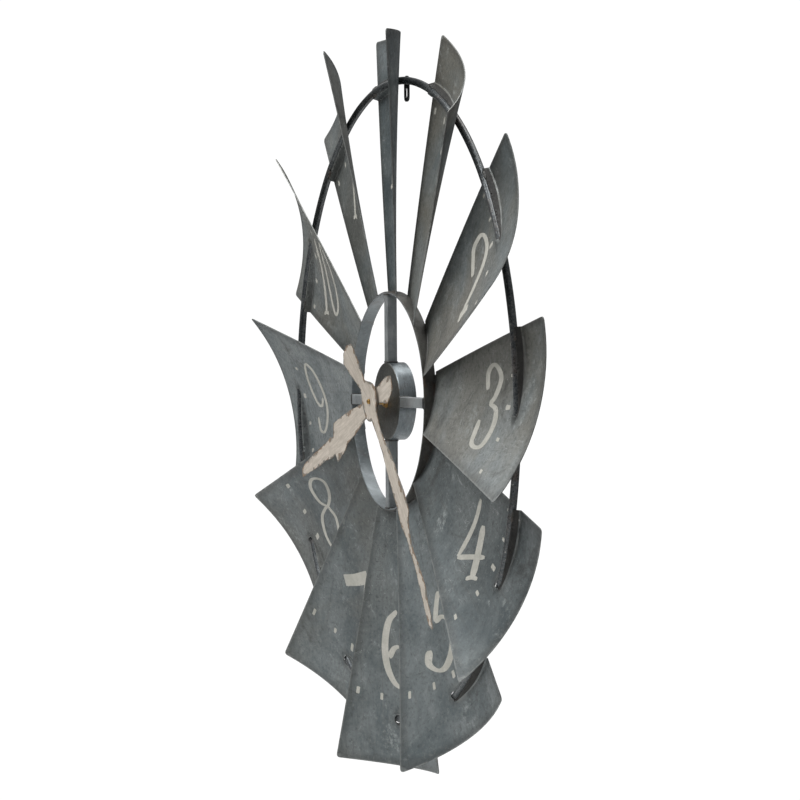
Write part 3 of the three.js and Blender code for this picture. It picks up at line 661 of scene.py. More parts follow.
def edge_point(radius, c):
    """Where a blade edge crosses a circle about the axis, as (t, u)."""
    u = radius
    for _ in range(8):
        t = blade_section(u, c)[0]
        u = math.sqrt(radius ** 2 - t ** 2)
    return t, u


def arc(radius, start, end, steps):
    angles = [start + (end - start) * k / steps for k in range(steps + 1)]
    return [(radius * math.sin(a), radius * math.cos(a)) for a in angles]


def blade_outline():
    """The pattern of a blade, with the open slot that takes the round hoop."""
    base = [edge_point(BAND_RADIUS + GAP, c / 20) for c in range(10, -11, -1)]
    left = [(blade_section(u * MM, -0.5)[0], u * MM) for u in range(150, 367, 24)]
    left += [edge_point(RING_RADIUS - COVER_RADIUS - aside, -0.5) for aside in reversed(LIP_ROWS)]
    mouth_low = edge_point(RING_RADIUS - SLOT_HALF, -0.5)
    mouth_high = edge_point(RING_RADIUS + SLOT_HALF, -0.5)
    slot_end = SLOT_END / RING_RADIUS
    inner = arc(RING_RADIUS - SLOT_HALF, math.atan2(*mouth_low) + MOUTH_STEP, slot_end, 22)
    outer = arc(RING_RADIUS + SLOT_HALF, slot_end, math.atan2(*mouth_high) + MOUTH_STEP, 22)
    cap = []
    for k in range(1, 16):
        radius = RING_RADIUS - SLOT_HALF * math.cos(math.pi * k / 16)
        cap.append((radius * math.sin(slot_end), radius * math.cos(slot_end)))
    bow = [c / 20 for c in range(-9, 10)]
    tip = [(blade_section(TIP_RADIUS, c)[0], TIP_RADIUS + TIP_BOW * (1 - 4 * c * c)) for c in bow]
    corners = [(blade_section(TIP_RADIUS, c)[0], TIP_RADIUS) for c in (-0.5, 0.5)]
    right = [(blade_section(u * MM, 0.5)[0], u * MM) for u in range(426, 149, -23)]
    upper_left = [edge_point(RING_RADIUS + COVER_RADIUS + aside, -0.5) for aside in LIP_ROWS]
    upper_left += [(blade_section(u * MM, -0.5)[0], u * MM) for u in (414, 430)]
    pattern = left + [mouth_low] + inner + cap + outer + [mouth_high] + upper_left
    pattern += [corners[0]] + tip + [corners[1]] + right + base
    rounding = {corner: 6 * MM for corner in corners}
    return round_corners(pattern, [rounding.get(p, 0) for p in pattern])


def slot_rows():
    """Extra points that let the sheet bend sharply beside the slot and over the hoop."""
    mouth = math.atan2(*edge_point(RING_RADIUS, -0.5))
    points = []
    for aside in LIP_ROWS:
        for side in (-1, 1):
            radius = RING_RADIUS + side * (COVER_RADIUS + aside)
            points += arc(radius, mouth + MOUTH_STEP, COVER_END / RING_RADIUS, 36)
    for k in range(9):
        radius = RING_RADIUS - COVER_RADIUS * math.cos(math.pi * k / 8)
        points += arc(radius, (SLOT_END + 2.5 * MM) / RING_RADIUS, COVER_END / RING_RADIUS, 13)
    return points


def weld_heat(points):
    """1 beside the hoops and on each slot's outboard lip, falling to 0 further off. Part of it is where
    welding and rust have browned the sheet; part is painted shade beside the rod and on its outboard lip."""
    radius = np.hypot(points[:, 0], points[:, 1])
    outboard = radius > RING_RADIUS
    # outboard of the rod the reach is longer: there the darkening is also painted shade of the rod
    at_rod = 1 - abs(radius - RING_RADIUS) / np.where(outboard, 42 * MM, 24 * MM)
    at_rod *= np.clip((SLOT_END + 25 * MM - points[:, 0]) / (40 * MM), 0, 1)
    at_band = 1 - (radius - BAND_RADIUS) / (26 * MM)
    # painted shade: the outboard lip's ramp goes dark as the hoop's shadow
    ramp = 1.8 - 1.8 * (radius - RING_RADIUS - COVER_RADIUS) / LIP_WIDTH
    on_lip = np.where(outboard & (points[:, 0] < SLOT_END), ramp, 0)
    return np.clip(np.maximum(np.maximum(at_rod, at_band), on_lip), 0, 1)


# How light and how brown each hour's blade has weathered. The lightness is also painted shade and light
# for how each blade faces the lamps.
WEATHER_AND_SHADE = {1: (0.6, 0.9), 2: (0.35, 0.9), 3: (0.75, 0.7), 4: (0.25, 0.15), 5: (0.6, 0.0), 6: (0.42, 0.2),
              7: (0.3, 0.5), 8: (0.15, 0.5), 9: (0.9, 0.0), 10: (0.8, 0.7), 11: (0.2, 0.6), 12: (0.0, 0.0)}


def lip_crease(points):
    """1 on the crease where a slot's lip leaves the sheet, up to the slot's end: there the sheet gets a
    painted highlight.
    """
    aside = abs(np.hypot(points[:, 0], points[:, 1]) - RING_RADIUS) - COVER_RADIUS
    # the crease line that gets a painted highlight
    crease_highlight = np.interp(aside, (LIP_ROWS[2], LIP_WIDTH, LIP_ROWS[4]), (0, 1, 0))
    return crease_highlight * np.clip((SLOT_END - points[:, 0]) / (6 * MM), 0, 1)


def on_outer_lip(point, hour):
    """Whether a point of a blade lies on the lip outboard of its slot, which is painted near black as the
    hoop's shadow.
    """
    angle = math.radians(30 * hour)
    t = point.x * math.cos(angle) - point.z * math.sin(angle)
    beyond = math.hypot(point.x, point.z) - RING_RADIUS
    return SLOT_HALF < beyond < COVER_RADIUS + LIP_ROWS[2] and t < SLOT_END


def make_blades():
    outline = blade_outline()
    rows = slot_rows()
    for hour in HOURS:
        def place(point, side):
            return on_blade(*point, hour, side * SHEET / 2)

        # the lightness is weathering and painted shade and light together
        light, brown = WEATHER_AND_SHADE[hour]
        # the weld browning attribute also carries painted shade beside the rod
        painted = {"light": light, "brown": brown, "heat": weld_heat, "crease_highlight": lip_crease}
        blade = sheet_piece(f"blade_sheet_{hour:02d}", [outline], (11 * MM, 14 * MM), place, LOOKS["sheet"],
                            "galvanised_steel", shift=0.9 * hour, extra=rows, painted=painted)
        # painted shadow: the lip outboard of the slot gets the near-black look
        second_look(blade, LOOKS["slot"], lambda centre, normal: on_outer_lip(centre, hour))
        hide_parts(f"blade_{hour:02d}")


# ---------------------------------------------------------------- numerals and minute marks

# Pen strokes of each digit in mm, x to the right and z up from its centre, each with the pen's weight.
STROKES = {
    "1": [([(-9, 30), (1, 39), (6, 47), (5, 0), (5, -45)], 1.0), ([(-8, -46), (5, -44), (18, -46)], 1.0)],
    "2": [([(1, -5), (-9, 12), (-12, 29), (10, 43), (33, 32), (38, 12), (22, -18), (0, -46)], 0.95),
          ([(-10, -55), (6, -47), (24, -41)], 1.7)],
    "3": [([(-7, 19), (-11, 38), (6, 48), (27, 34), (18, 12), (5, 3)], 0.9),
          ([(5, 3), (26, -3), (33, -20), (22, -42), (4, -47), (-14, -40), (-12, -16)], 0.95)],
    "4": [([(3, 46), (-7, 18), (-29, -22)], 0.7), ([(-29, -23), (0, -21), (29, -20)], 1.3),
          ([(15, 16), (13, -12), (13, -45)], 1.0), ([(1, -46), (12, -44), (24, -45)], 1.0)],
    "5": [([(-16, 43), (-17, 26), (-16, 7)], 0.7), ([(-17, 41), (4, 40), (23, 45)], 1.6),
          ([(-16, 7), (0, 14), (19, 4), (24, -20), (16, -42), (2, -50), (-16, -44), (-20, -28)], 0.95)],
    "6": [([(-2, 50), (-19, 36), (-27, 8), (-24, -20), (-10, -40), (10, -44), (24, -28), (22, -6),
            (6, 5), (-8, 4), (-20, -8)], 0.9)],
    "7": [([(-17, 36), (8, 38), (36, 43)], 3.2), ([(37, 42), (24, 8), (14, -46)], 1.0)],
    "8": [([(6, 12), (-16, 18), (-27, 34), (-18, 46), (0, 49), (16, 44), (20, 30), (10, 16), (-6, 8),
            (-21, -4), (-23, -24), (-8, -40), (12, -38), (26, -22), (24, -2), (12, 8), (6, 12)], 0.62)],
    "9": [([(24, -2), (10, -12), (-6, -8), (-19, 8), (-22, 26), (-8, 42), (12, 36), (28, 14), (34, -8),
            (26, -30), (8, -46), (-10, -44), (-15, -28)], 0.68)],
    "0": [([(2, 45), (-16, 38), (-26, 12), (-24, -22), (-10, -44), (6, -46), (22, -34), (30, -8), (26, 20),
            (14, 40), (2, 45)], 0.9)],
}
NUMERAL_RADIUS = 310 * MM
PEN_BROAD = 13.6 * MM
PEN_THIN = 4.6 * MM
PAIR_SHIFT = 27           # mm from a two-digit numeral's middle to each digit's centre
PAIR_SCALE = 0.8          # how much narrower the digits of a pair are
PAINT = 0.16 * MM
OFF_LINE = {1: 4, 11: 17, 12: 8}    # mm clockwise that a numeral stands off the middle of its blade
MARK_RADIUS = 370 * MM
MARK_STEP = 5.65          # degrees: the marks stand a little closer together on a blade than across the gaps
MARK_ROWS = (-1, -0.8, 0, 0.8, 1)   # where a mark is measured across, from its inner end to its outer end
WORN_AWAY = {47}          # minute marks that have weathered off


def smooth_path(keys, steps=7):
    """A Catmull-Rom curve through the keys."""
    keys = [Vector(k) for k in keys]
    keys = [keys[0] * 2 - keys[1]] + keys + [keys[-1] * 2 - keys[-2]]
    path = []
    for a, b, c, d in zip(keys, keys[1:], keys[2:], keys[3:]):
        for k in range(steps):
            f = k / steps
            bend = (2 * a - 5 * b + 4 * c - d) * f * f + (3 * b - a - 3 * c + d) * f ** 3
            path.append((2 * b + (c - a) * f + bend) / 2)
    return path + [keys[-2]]


def pen_stroke(keys, weight, to_dial, layer):
    """A ribbon of paint drawn with a broad pen: wide where it runs up or down, thin where it runs across.
    Its ends are narrower, apart from the square ends of a very heavy stroke."""
    path = smooth_path(keys)
    count = len(path)
    vertices = []
    for i, point in enumerate(path):
        along = (path[min(i + 1, count - 1)] - path[max(i - 1, 0)]).normalized()
        broad = math.hypot(PEN_BROAD * along.y, PEN_THIN * along.x) / 2 * weight / MM
        ends = min(1.0, (0.55 if weight < 2 else 0.97) + 0.3 * min(i, count - 1 - i))
        side = Vector((-along.y, along.x)) * broad * ends
        for across, front in ((-1, 1), (0, 1), (1, 1), (1, 0), (0, 0), (-1, 0)):
            lift = PAINT * (0.8 + 0.22 * layer) if front else -SHEET / 4
            vertices.append(to_dial(point + side * across, lift))
    faces = grid_faces(count, 6)
    faces.append(tuple(range(6)))
    faces.append(tuple(range(count * 6 - 6, count * 6)))
    return vertices, faces


def dial_to_blade(x, z, hour, lift):
    """A dial point, laid on the front of one blade, lift metres in front of the sheet."""
    angle = math.radians(30 * hour)
    t = x * math.cos(angle) - z * math.sin(angle)
    u = x * math.sin(angle) + z * math.cos(angle)
    return on_blade(t, u, hour, -SHEET / 2 - lift)


def make_numerals():
    for hour in HOURS:
        angle = math.radians(30 * hour)
        text = str(hour)
        scale = PAIR_SCALE if len(text) == 2 else 1.0
        shapes = []
        for place, digit in enumerate(text):
            shift = PAIR_SHIFT * (2 * place + 1 - len(text))

            def to_dial(point, lift):
                x = NUMERAL_RADIUS * math.sin(angle) + (point.x * scale + shift) * MM
                z = NUMERAL_RADIUS * math.cos(angle) + point.y * MM
                off = OFF_LINE.get(hour, 0) * MM
                return dial_to_blade(x + off * math.cos(angle), z - off * math.sin(angle), hour, lift)

            for layer, (keys, weight) in enumerate(STROKES[digit]):
                shapes.append(pen_stroke(keys, weight, to_dial, layer + 1))
        add_piece(f"numeral_{hour:02d}", *joined(shapes), LOOKS["numeral"], "cream_paint")


def make_minute_marks():
    chance = random.Random(60)
    shapes = []
    for minute in range(60):
        if minute in WORN_AWAY:
            continue
        hour = (minute + 2) // 5 % 12
        from_hour = minute - 5 * ((minute + 2) // 5)
        angle = math.radians(30 * hour + MARK_STEP * from_hour)
        long_mark = from_hour == 0
        half = (2.9 if long_mark else 2.2) * chance.uniform(0.8, 1.1) * MM
        reach = (5.8 if long_mark else 4.6) * chance.uniform(0.8, 1.1) * MM
        vertices = []
        for along in MARK_ROWS:
            width = half * (0.7 if abs(along) == 1 else chance.uniform(0.9, 1.1))
            for across, lift in ((-1, PAINT), (1, PAINT), (1, -SHEET / 4), (-1, -SHEET / 4)):
                radius = MARK_RADIUS + along * reach
                x = radius * math.sin(angle) + across * width * math.cos(angle)
                z = radius * math.cos(angle) - across * width * math.sin(angle)
                vertices.append(dial_to_blade(x, z, hour, lift))
        last = len(vertices) - 4
        faces = grid_faces(len(MARK_ROWS), 4) + [(0, 1, 2, 3), (last, last + 1, last + 2, last + 3)]
        shapes.append((vertices, faces))
    add_piece("minute_marks", *joined(shapes), LOOKS["numeral"], "cream_paint")


# ---------------------------------------------------------------- hoops, spokes, cup and welds

def make_hoops():
    half = (BAND_HIGH.y - BAND_LOW.y) / 2
    inner = BAND_RADIUS - BAND_THICKNESS
    profile = round_corners(rectangle(inner, MID_Y - half, BAND_RADIUS, MID_Y + half), 1.1 * MM)

    def hammered(angle, y):
        return 0.18 * MM * (math.sin(7 * angle) + math.sin(17 * angle + 2) - 2)

    band = add_piece("band", *lathe(profile, 240, wobble=hammered), LOOKS["band"], "galvanised_steel")
    # painted shade and rust: the outer half of the band gets the darker look
    second_look(band, LOOKS["band_outside_rust_and_shade"],
                lambda centre, normal: math.hypot(centre.x, centre.z) > BAND_RADIUS - BAND_THICKNESS / 2)
    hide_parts("inner_band")

    path = []
    radii = []
    steps = 360
    for i in range(steps):
        angle = 2 * math.pi * i / steps
        path.append((RING_RADIUS * math.sin(angle), RING_Y, RING_RADIUS * math.cos(angle)))
        radii.append(ROD_RADIUS * (0.985 + 0.012 * math.sin(31 * angle)))
    rod = add_piece("rod_ring", *tube(path, radii, 20, closed=True), LOOKS["rod"], "rod_steel")
    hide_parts("outer_ring")


def square_section(half, radius):
    return round_corners(rectangle(-half, -half, half, half), radius, 4)


def make_spokes():
    inner_end, outer_end = SPOKE_LOW.z, SPOKE_HIGH.z
    outside = square_section(SPOKE_HALF, 1.5 * MM)
    bore = square_section(SPOKE_HALF - 1.5 * MM, 0.8 * MM)
    stations = [inner_end, inner_end * 0.7 + outer_end * 0.3, inner_end * 0.3 + outer_end * 0.7, outer_end]
    rows = [(outside, z) for z in stations] + [(bore, z) for z in reversed(stations)]
    for hour in (12, 3, 6, 9):
        angle = math.radians(30 * hour)
        vertices = [turn((x, SPOKE_Y + y, z), angle) for section, z in rows for x, y in section]
        faces = grid_faces(len(rows), len(outside), close_rows=True)
        spoke = add_piece(f"spoke_tube_{hour:02d}", vertices, faces, LOOKS["spoke"], "galvanised_steel")
        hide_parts(f"spoke_{hour:02d}")


SPOKE_BEAD = 1.15 * MM
BASE_BEAD = 1.25 * MM
RING_BEAD = 1.9 * MM


def bead(path, radius, chance, closed=False):
    """A run of weld: a lumpy rod that swells and pinches with each dab."""
    radii = []
    for i in range(len(path)):
        ends = 1.0 if closed else min(1.0, 0.45 + 0.35 * min(i, len(path) - 1 - i))
        radii.append(radius * ends * (0.85 + 0.25 * abs(math.sin(1.9 * i)) + chance.uniform(-0.08, 0.08)))
    return tube(path, radii, 8, closed)


def make_spoke_welds():
    chance = random.Random(4)
    shapes = []
    section = square_section(SPOKE_HALF, 2.0 * MM)
    loop = []
    for a, b in zip(section, section[1:] + section[:1]):
        steps = max(1, round(math.dist(a, b) / (1.4 * MM)))
        loop += [tuple(Vector(a).lerp(Vector(b), k / steps)) for k in range(steps)]
    for hour in (12, 3, 6, 9):
        for radius, sign in ((CUP_RADIUS, 1), (BAND_RADIUS - BAND_THICKNESS, -1)):
            path = [(x, SPOKE_Y + y, math.sqrt(radius ** 2 - x ** 2) + sign * 0.6 * MM) for x, y in loop]
            path = [turn(p, math.radians(30 * hour)) for p in path]
            shapes.append(bead(path, SPOKE_BEAD, chance, closed=True))
    add_piece("spoke_welds", *joined(shapes), LOOKS["weld"], "galvanised_steel", sharp=70)


def make_base_welds():
    """The bead along the foot of each blade, on the flat hoop."""
    chance = random.Random(12)
    dabs = 46
    shapes = []
    for hour in HOURS:
        path = []
        for k in range(dabs):
            t, u = edge_point(BAND_RADIUS + 0.5 * MM, -0.45 + 0.9 * k / (dabs - 1))
            x, y, z = on_blade(t, u, hour)
            path.append((x, min(max(y, BAND_LOW.y + 0.5 * MM), BAND_HIGH.y - 0.2 * MM), z))
        shapes.append(bead(path, BASE_BEAD, chance))
    add_piece("base_welds", *joined(shapes), LOOKS["weld"], "galvanised_steel", sharp=70)


def make_ring_welds():
    """At each slot's mouth, both lips are welded to the round hoop."""
    chance = random.Random(24)
    dabs = 12
    first, spacing = 2.2, 1.25      # mm from the slot's mouth to the first dab, and from dab to dab
    towards_rod = 0.22              # how far the bead lies from the lip to the rod's middle
    shapes = []
    for hour in HOURS:
        angle = math.radians(30 * hour)
        for side in (-1, 1):
            radius = RING_RADIUS + side * COVER_RADIUS
            mouth_t, _ = edge_point(radius, -0.5)
            path = []
            for k in range(dabs):
                t = mouth_t + (first + spacing * k) * MM
                u = math.sqrt(radius ** 2 - t ** 2)
                lip = Vector(on_blade(t, u, hour))
                along = Vector(turn((t, 0, u), angle)).normalized()
                rod = along * RING_RADIUS + Vector((0, RING_Y, 0))
                path.append(lip.lerp(rod, towards_rod))
            shapes.append(bead(path, RING_BEAD, chance))
    add_piece("ring_welds", *joined(shapes), LOOKS["weld"], "rod_steel", sharp=70)


def make_cup():
    hole = STEM_RADIUS + GAP
    inside_radius = CUP_RADIUS - SHEET
    face_back = CUP_FRONT + SHEET
    corners = [(hole, CUP_FRONT), (CUP_RADIUS, CUP_FRONT), (CUP_RADIUS, CUP_HIGH.y),
               (inside_radius, CUP_HIGH.y), (inside_radius, face_back), (hole, face_back)]
    profile = round_corners(corners, [0.3 * MM, 2.2 * MM, 0.5 * MM, 0.5 * MM, 1.4 * MM, 0.3 * MM])

    def dented(angle, y):
        if y <= CUP_FRONT + 4 * MM:
            return 0
        return 0.12 * MM * (math.sin(5 * angle + 300 * y) + math.sin(11 * angle) - 2)

    cup = add_piece("cup", *lathe(profile, 144, wobble=dented), LOOKS["cup"], "galvanised_steel", sharp=50)
    # painted shade: the front-facing faces of the cup get the darker look
    second_look(cup, LOOKS["cup_face_shaded"], lambda centre, normal: normal.y < -0.7)
    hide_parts("hub_cup")


# ---------------------------------------------------------------- stem, nuts and washer

def make_stem():
    """The movement's stem, with a thread cut from its front end back to the flange."""
    pitch = 0.75 * MM
    depth = 0.38 * MM
    bore = 3.1 * MM
    sides = 32
    flange = 5.2 * MM
    flange_front = STEM_HIGH.y - 0.5 * MM
    rows = round((flange_front - STEM_LOW.y) / (pitch / 5))
    profile = []
    for i in range(rows + 1):
        y = STEM_LOW.y + (flange_front - STEM_LOW.y) * i / rows
        profile.append((STEM_RADIUS, y))
    count = len(profile)
    closing = [(flange, flange_front), (flange, STEM_HIGH.y), (bore, STEM_HIGH.y), (bore, STEM_LOW.y)]
    vertices = []
    for j in range(sides):
        angle = 2 * math.pi * j / sides
        for radius, y in profile + closing:
            if radius == STEM_RADIUS:
                phase = (y / pitch + j / sides) % 1
                radius -= depth * (1 - abs(2 * phase - 1))
            vertices.append((radius * math.sin(angle), y, radius * math.cos(angle)))
    faces = grid_faces(sides, count + len(closing), close_rows=True)
    stem = add_piece("stem_thread", vertices, faces, LOOKS["brass"], "brass", sharp=55)
    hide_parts("threaded_stem")


def make_hex_nut():
    """A hexagonal nut, its corners turned down to a cone at both ends."""
    corner = NUT_HIGH.x
    flat = corner * math.cos(math.pi / 6)
    hole = STEM_RADIUS - 0.15 * MM
    sides = 96
    vertices = []
    for j in range(sides):
        angle = 2 * math.pi * j / sides
        from_flat = (angle + math.pi / 2) % (math.pi / 3) - math.pi / 6
        reach = flat / math.cos(from_flat)
        cone = max(0.0, reach - flat * 0.97) * 0.6
        rim = min(reach, flat * 0.97)
        ring = [(hole + 0.4 * MM, NUT_LOW.y), (rim, NUT_LOW.y), (reach, NUT_LOW.y + cone),
                (reach, NUT_HIGH.y - cone), (rim, NUT_HIGH.y), (hole, NUT_HIGH.y),
                (hole, NUT_LOW.y + 0.4 * MM)]
        vertices += [(r * math.cos(angle), y, r * math.sin(angle)) for r, y in ring]
    faces = grid_faces(sides, len(ring), close_rows=True)
    nut = add_piece("chamfered_nut", vertices, faces, LOOKS["brass"], "brass", sharp=28)
    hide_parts("hex_nut")


def make_washer():
    hole = STEM_RADIUS + GAP
    corners = rectangle(hole, WASHER_LOW.y, WASHER_HIGH.x, WASHER_HIGH.y)
    profile = round_corners(corners, 0.22 * MM, 3)
    washer = add_piece("pressed_washer", *lathe(profile, 64), LOOKS["brass"], "brass")
    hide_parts("brass_washer")


def make_minute_nut():
    bore = 1.9 * MM
    radius = MINUTE_NUT_HIGH.x
    front, back = MINUTE_NUT_LOW.y, MINUTE_NUT_HIGH.y
    corners = rectangle(bore, front, radius, back)
    profile = round_corners(corners, [0.2 * MM, 1.6 * MM, 0.2 * MM, 0.1 * MM], 8)

    def knurled(angle, y):
        return 0.0 if y < front + 1.3 * MM else -0.12 * MM * abs(math.sin(15 * angle))

    shape = lathe(profile, 120, wobble=knurled)
    nut = add_piece("domed_nut", *shape, LOOKS["brass"], "brass", "minute", sharp=50)
    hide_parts("minute_nut")


# ---------------------------------------------------------------- hands

def scraped_at(*spots):
    """Where paint is scraped off: 1 in the middle of each spot, falling to 0 at its rim.
    A spot is (across, along, half width, half length) in mm."""
    def bare(pattern):
        found = np.zeros(len(pattern))
        for across, along, half_width, half_length in spots:
            x = (pattern[:, 0] - across * MM) / (half_width * MM)
            y = (pattern[:, 1] - along * MM) / (half_length * MM)
            found = np.maximum(found, 1 - np.hypot(x, y))
        return found
    return bare


def ragged(outline, chance, step, depth):
    """Nibbles an outline as tin snips do."""
    result = []
    for a, b in zip(outline, outline[1:] + outline[:1]):
        a, b = Vector(a), Vector(b)
        pieces = max(1, round((b - a).length / step))
        across = Vector((b.y - a.y, a.x - b.x)).normalized()
        for k in range(pieces):
            bite = 0 if k == 0 else chance.uniform(-1, 1) * depth
            result.append(tuple(a.lerp(b, k / pieces) + across * bite))
    return result


def circle(radius, steps=48):
    return [(radius * math.sin(2 * math.pi * k / steps), radius * math.cos(2 * math.pi * k / steps))
            for k in range(steps)]


def hand_pattern(right, left, disc_radius, chance):
    """The outline from its clockwise and anticlockwise edges, each listed from tail end to tip, round a disc.
    None in an edge stands for the disc's own rim."""
    def edge(points, sign):
        out = []
        for k, point in enumerate(points):
            if point is not None:
                out.append((point[0] * MM, point[1] * MM))
                continue
            start = math.atan2(*points[k - 1])
            end = math.atan2(*points[k + 1])
            if sign > 0 and end > start:
                end -= 2 * math.pi
            if sign < 0 and end < start:
                end += 2 * math.pi
            margin = math.copysign(0.3, end - start)
            out += arc(disc_radius, start + margin, end - margin, 12)
        return out

    return ragged(edge(right, 1) + edge(left, -1)[::-1], chance, 3.2 * MM, 0.42 * MM)


def make_hour_hand():
    chance = random.Random(251)
    clockwise = [(9, -74), (14, -56), (11, -24), None, (10, 40), (15, 78), (17, 96), (19, 126), (20, 153),
                 (4, 159), (7, 172), (6, 197), (7, 240), (6, 285), (2, 297)]
    anticlockwise = [(-9, -74), (-19, -52), (-10, -24), None, (-13, 37), (-19, 80), (-20, 110), (-26, 119),
                     (-31, 154), (-19, 160), (-20, 173), (-16, 196), (-14, 233), (-11, 262), (-8, 297)]
    outline = hand_pattern(clockwise, anticlockwise, 20 * MM, chance)
    bore = circle(2.95 * MM)

    def place(point, side):
        t, u = point
        y = HOUR_FRONT + HAND_SHEET * (1 + side) / 2
        return turn((t, y, u), HOUR_ANGLE)

    bare = scraped_at((-27, 142, 8, 16), (4, 170, 6, 12), (8, -64, 5, 14), (13, 90, 5, 12))
    hand = sheet_piece("hour_hand_sheet", [outline, bore], (3 * MM, 3.5 * MM), place, LOOKS["hand"],
                       "cream_paint", "hour", bevel=0.15 * MM, shift=3, painted={"bare": bare})
    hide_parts("hour_hand")


def make_minute_hand():
    """A long strip with uneven edges, broad in the middle; its tail is bent towards the reader."""
    chance = random.Random(140)
    clockwise = [(8, -84), (19, -77), (15, -50), (9, -27), None, (5, 56), (4, 76), (5, 95), (5, 132),
                 (5, 163), (7, 176), (7, 187), (3, 202), (1, 210), (2, 228), (0, 248), (3, 282), (4, 299),
                 (6, 316), (6, 331), (1, 341)]
    anticlockwise = [(-8, -84), (-20, -77), (-16, -50), (-9, -27), None, (-9, 48), (-11, 68), (-19, 94),
                     (-22, 115), (-22, 126), (-27, 156), (-26, 186), (-17, 194), (-13, 202), (-9, 218),
                     (-8, 235), (-12, 257), (-14, 294), (-8, 308), (-8, 326), (-3, 341)]
    outline = hand_pattern(clockwise, anticlockwise, 25 * MM, chance)
    bore = circle(1.75 * MM)
    bend_u = -9 * MM
    bend = math.radians(10.5)

    def place(point, side):
        t, u = point
        y = MINUTE_FRONT + HAND_SHEET * (1 + side) / 2
        if u < bend_u and abs(t) <= 25 * MM:
            length = bend_u - u
            y -= length * math.sin(bend)
            u = bend_u - length * math.cos(bend)
        return turn((t, y, u), MINUTE_ANGLE)

    bare = scraped_at((-25, 143, 11, 24), (6, 150, 5, 20), (-8, 222, 5, 20), (-20, -60, 6, 16),
                      (22, 0, 4, 18), (6, 260, 4, 24))
    hand = sheet_piece("minute_hand_sheet", [outline, bore], (3 * MM, 3.5 * MM), place, LOOKS["hand"],
                       "cream_paint", "minute", bevel=0.15 * MM, shift=7, painted={"bare": bare})
    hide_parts("minute_hand")


# ---------------------------------------------------------------- hanger and the movement's back

def stadium(half_width, low, high, steps=10):
    points = []
    for centre, start in ((high - half_width, 0.0), (low + half_width, math.pi)):
        for k in range(steps + 1):
            a = start + math.pi * k / steps
            points.append((half_width * math.cos(a), centre + half_width * math.sin(a)))
    return points


def flat_plate(front, back):
    """Places a pattern's points between two Y planes."""
    def place(point, side):
        return point[0], front if side < 0 else back, point[1]
    return place


def make_hanger():
    low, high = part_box("hanger_plate")
    half = high.x
    rim = round_corners(rectangle(-half, low.z, half, high.z), 7 * MM)
    slot = stadium(3.5 * MM, RING_RADIUS - 20.5 * MM, RING_RADIUS - 7.5 * MM)
    plate = sheet_piece("hanger_strap", [rim, slot], (4 * MM, 4 * MM),
                        flat_plate(low.y, high.y), LOOKS["black_paint"], "black_paint", bevel=0.3 * MM)
    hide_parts("hanger_plate")

    low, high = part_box("hanger_block")
    section = round_corners(rectangle(low.x, low.z, high.x, high.z), 1 * MM)
    block = sheet_piece("hanger_spacer", [section], (3 * MM, 3 * MM), flat_plate(low.y, high.y),
                        LOOKS["black_paint"], "black_paint", bevel=0.3 * MM)
    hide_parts("hanger_block")


def make_knob():
    """The knob that sets the hands, its rim cut into grips, with a shallow recess in its back."""
    low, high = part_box("setting_knob")
    centre = ((low.x + high.x) / 2, (low.z + high.z) / 2)
    radius = high.x - centre[0]
    shaft = 1 * MM
    front = high.y - 2.6 * MM
    recess = 0.45 * radius
    depth = 0.5 * MM
    corners = [(POLE, low.y), (shaft, low.y), (shaft, front), (radius, front), (radius, high.y),
               (recess, high.y), (recess - depth, high.y - depth), (POLE, high.y - depth)]
    radii = [0, 0, 0, 0.4 * MM, 0.5 * MM, 0.1 * MM, 0.1 * MM, 0]
    turned, faces = lathe(round_corners(corners, radii, 3), 96, centre)
    vertices = []
    for x, y, z in turned:
        dx, dz = x - centre[0], z - centre[1]
        if math.hypot(dx, dz) > radius * 0.9:
            grip = 1 - 0.035 * (1 + math.sin(16 * math.atan2(dx, dz)))
            dx, dz = dx * grip, dz * grip
        vertices.append((centre[0] + dx, y, centre[1] + dz))
    knob = add_piece("gripped_knob", vertices, faces, LOOKS["black_plastic"], "black_plastic", "setting",
                     sharp=50)
    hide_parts("setting_knob")


def make_battery():
    """A cell with a rolled shoulder, a crimped foot and a raised positive cap."""
    low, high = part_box("battery")
    centre_y = (low.y + high.y) / 2
    centre_z = (low.z + high.z) / 2
    radius = (high.z - low.z) / 2
    shoulder = high.x - 1.1 * MM
    seal = shoulder - 0.2 * MM
    cap = 2.75 * MM
    corners = [(POLE, low.x), (radius * 0.8, low.x), (radius, low.x + 0.5 * MM), (radius, shoulder),
               (radius * 0.82, shoulder), (radius * 0.8, seal), (cap, seal), (cap - 0.05 * MM, high.x),
               (POLE, high.x)]
    radii = [0, 0.3 * MM, 0.4 * MM, 0.7 * MM, 0.1 * MM, 0.1 * MM, 0.2 * MM, 0.4 * MM, 0]
    turned, faces = lathe(round_corners(corners, radii, 4), 72)
    vertices = [(y, centre_y + x, centre_z + z) for x, y, z in turned]
    cell = add_piece("cell", vertices, faces, LOOKS["cell_jacket"], "cell_jacket", sharp=50)
    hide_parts("battery")


# ---------------------------------------------------------------- floor, light and camera

def make_floor():
    sides = 128
    radius = 1.6
    drop = 0.3
    z = cad_box[0][2] - drop
    angles = [2 * math.pi * k / sides for k in range(sides)]
    mesh = bpy.data.meshes.new("floor")
    mesh.from_pydata([(radius * math.sin(a), radius * math.cos(a), z) for a in angles], [],
                     [tuple(reversed(range(sides)))])
    look = Look("floor_paint", specular=0.2)
    grain = look.noise(30, 4, 0.5)
    colour = look.mix(look.fade(grain, 0.3, 0.7), (0.86, 0.86, 0.855), (0.9, 0.9, 0.895))
    mesh.materials.append(look.finish(colour, look.fade(grain, 0.3, 0.7, 0.75, 0.85)))
    floor = bpy.data.objects.new("floor", mesh)
    bpy.context.scene.collection.objects.link(floor)


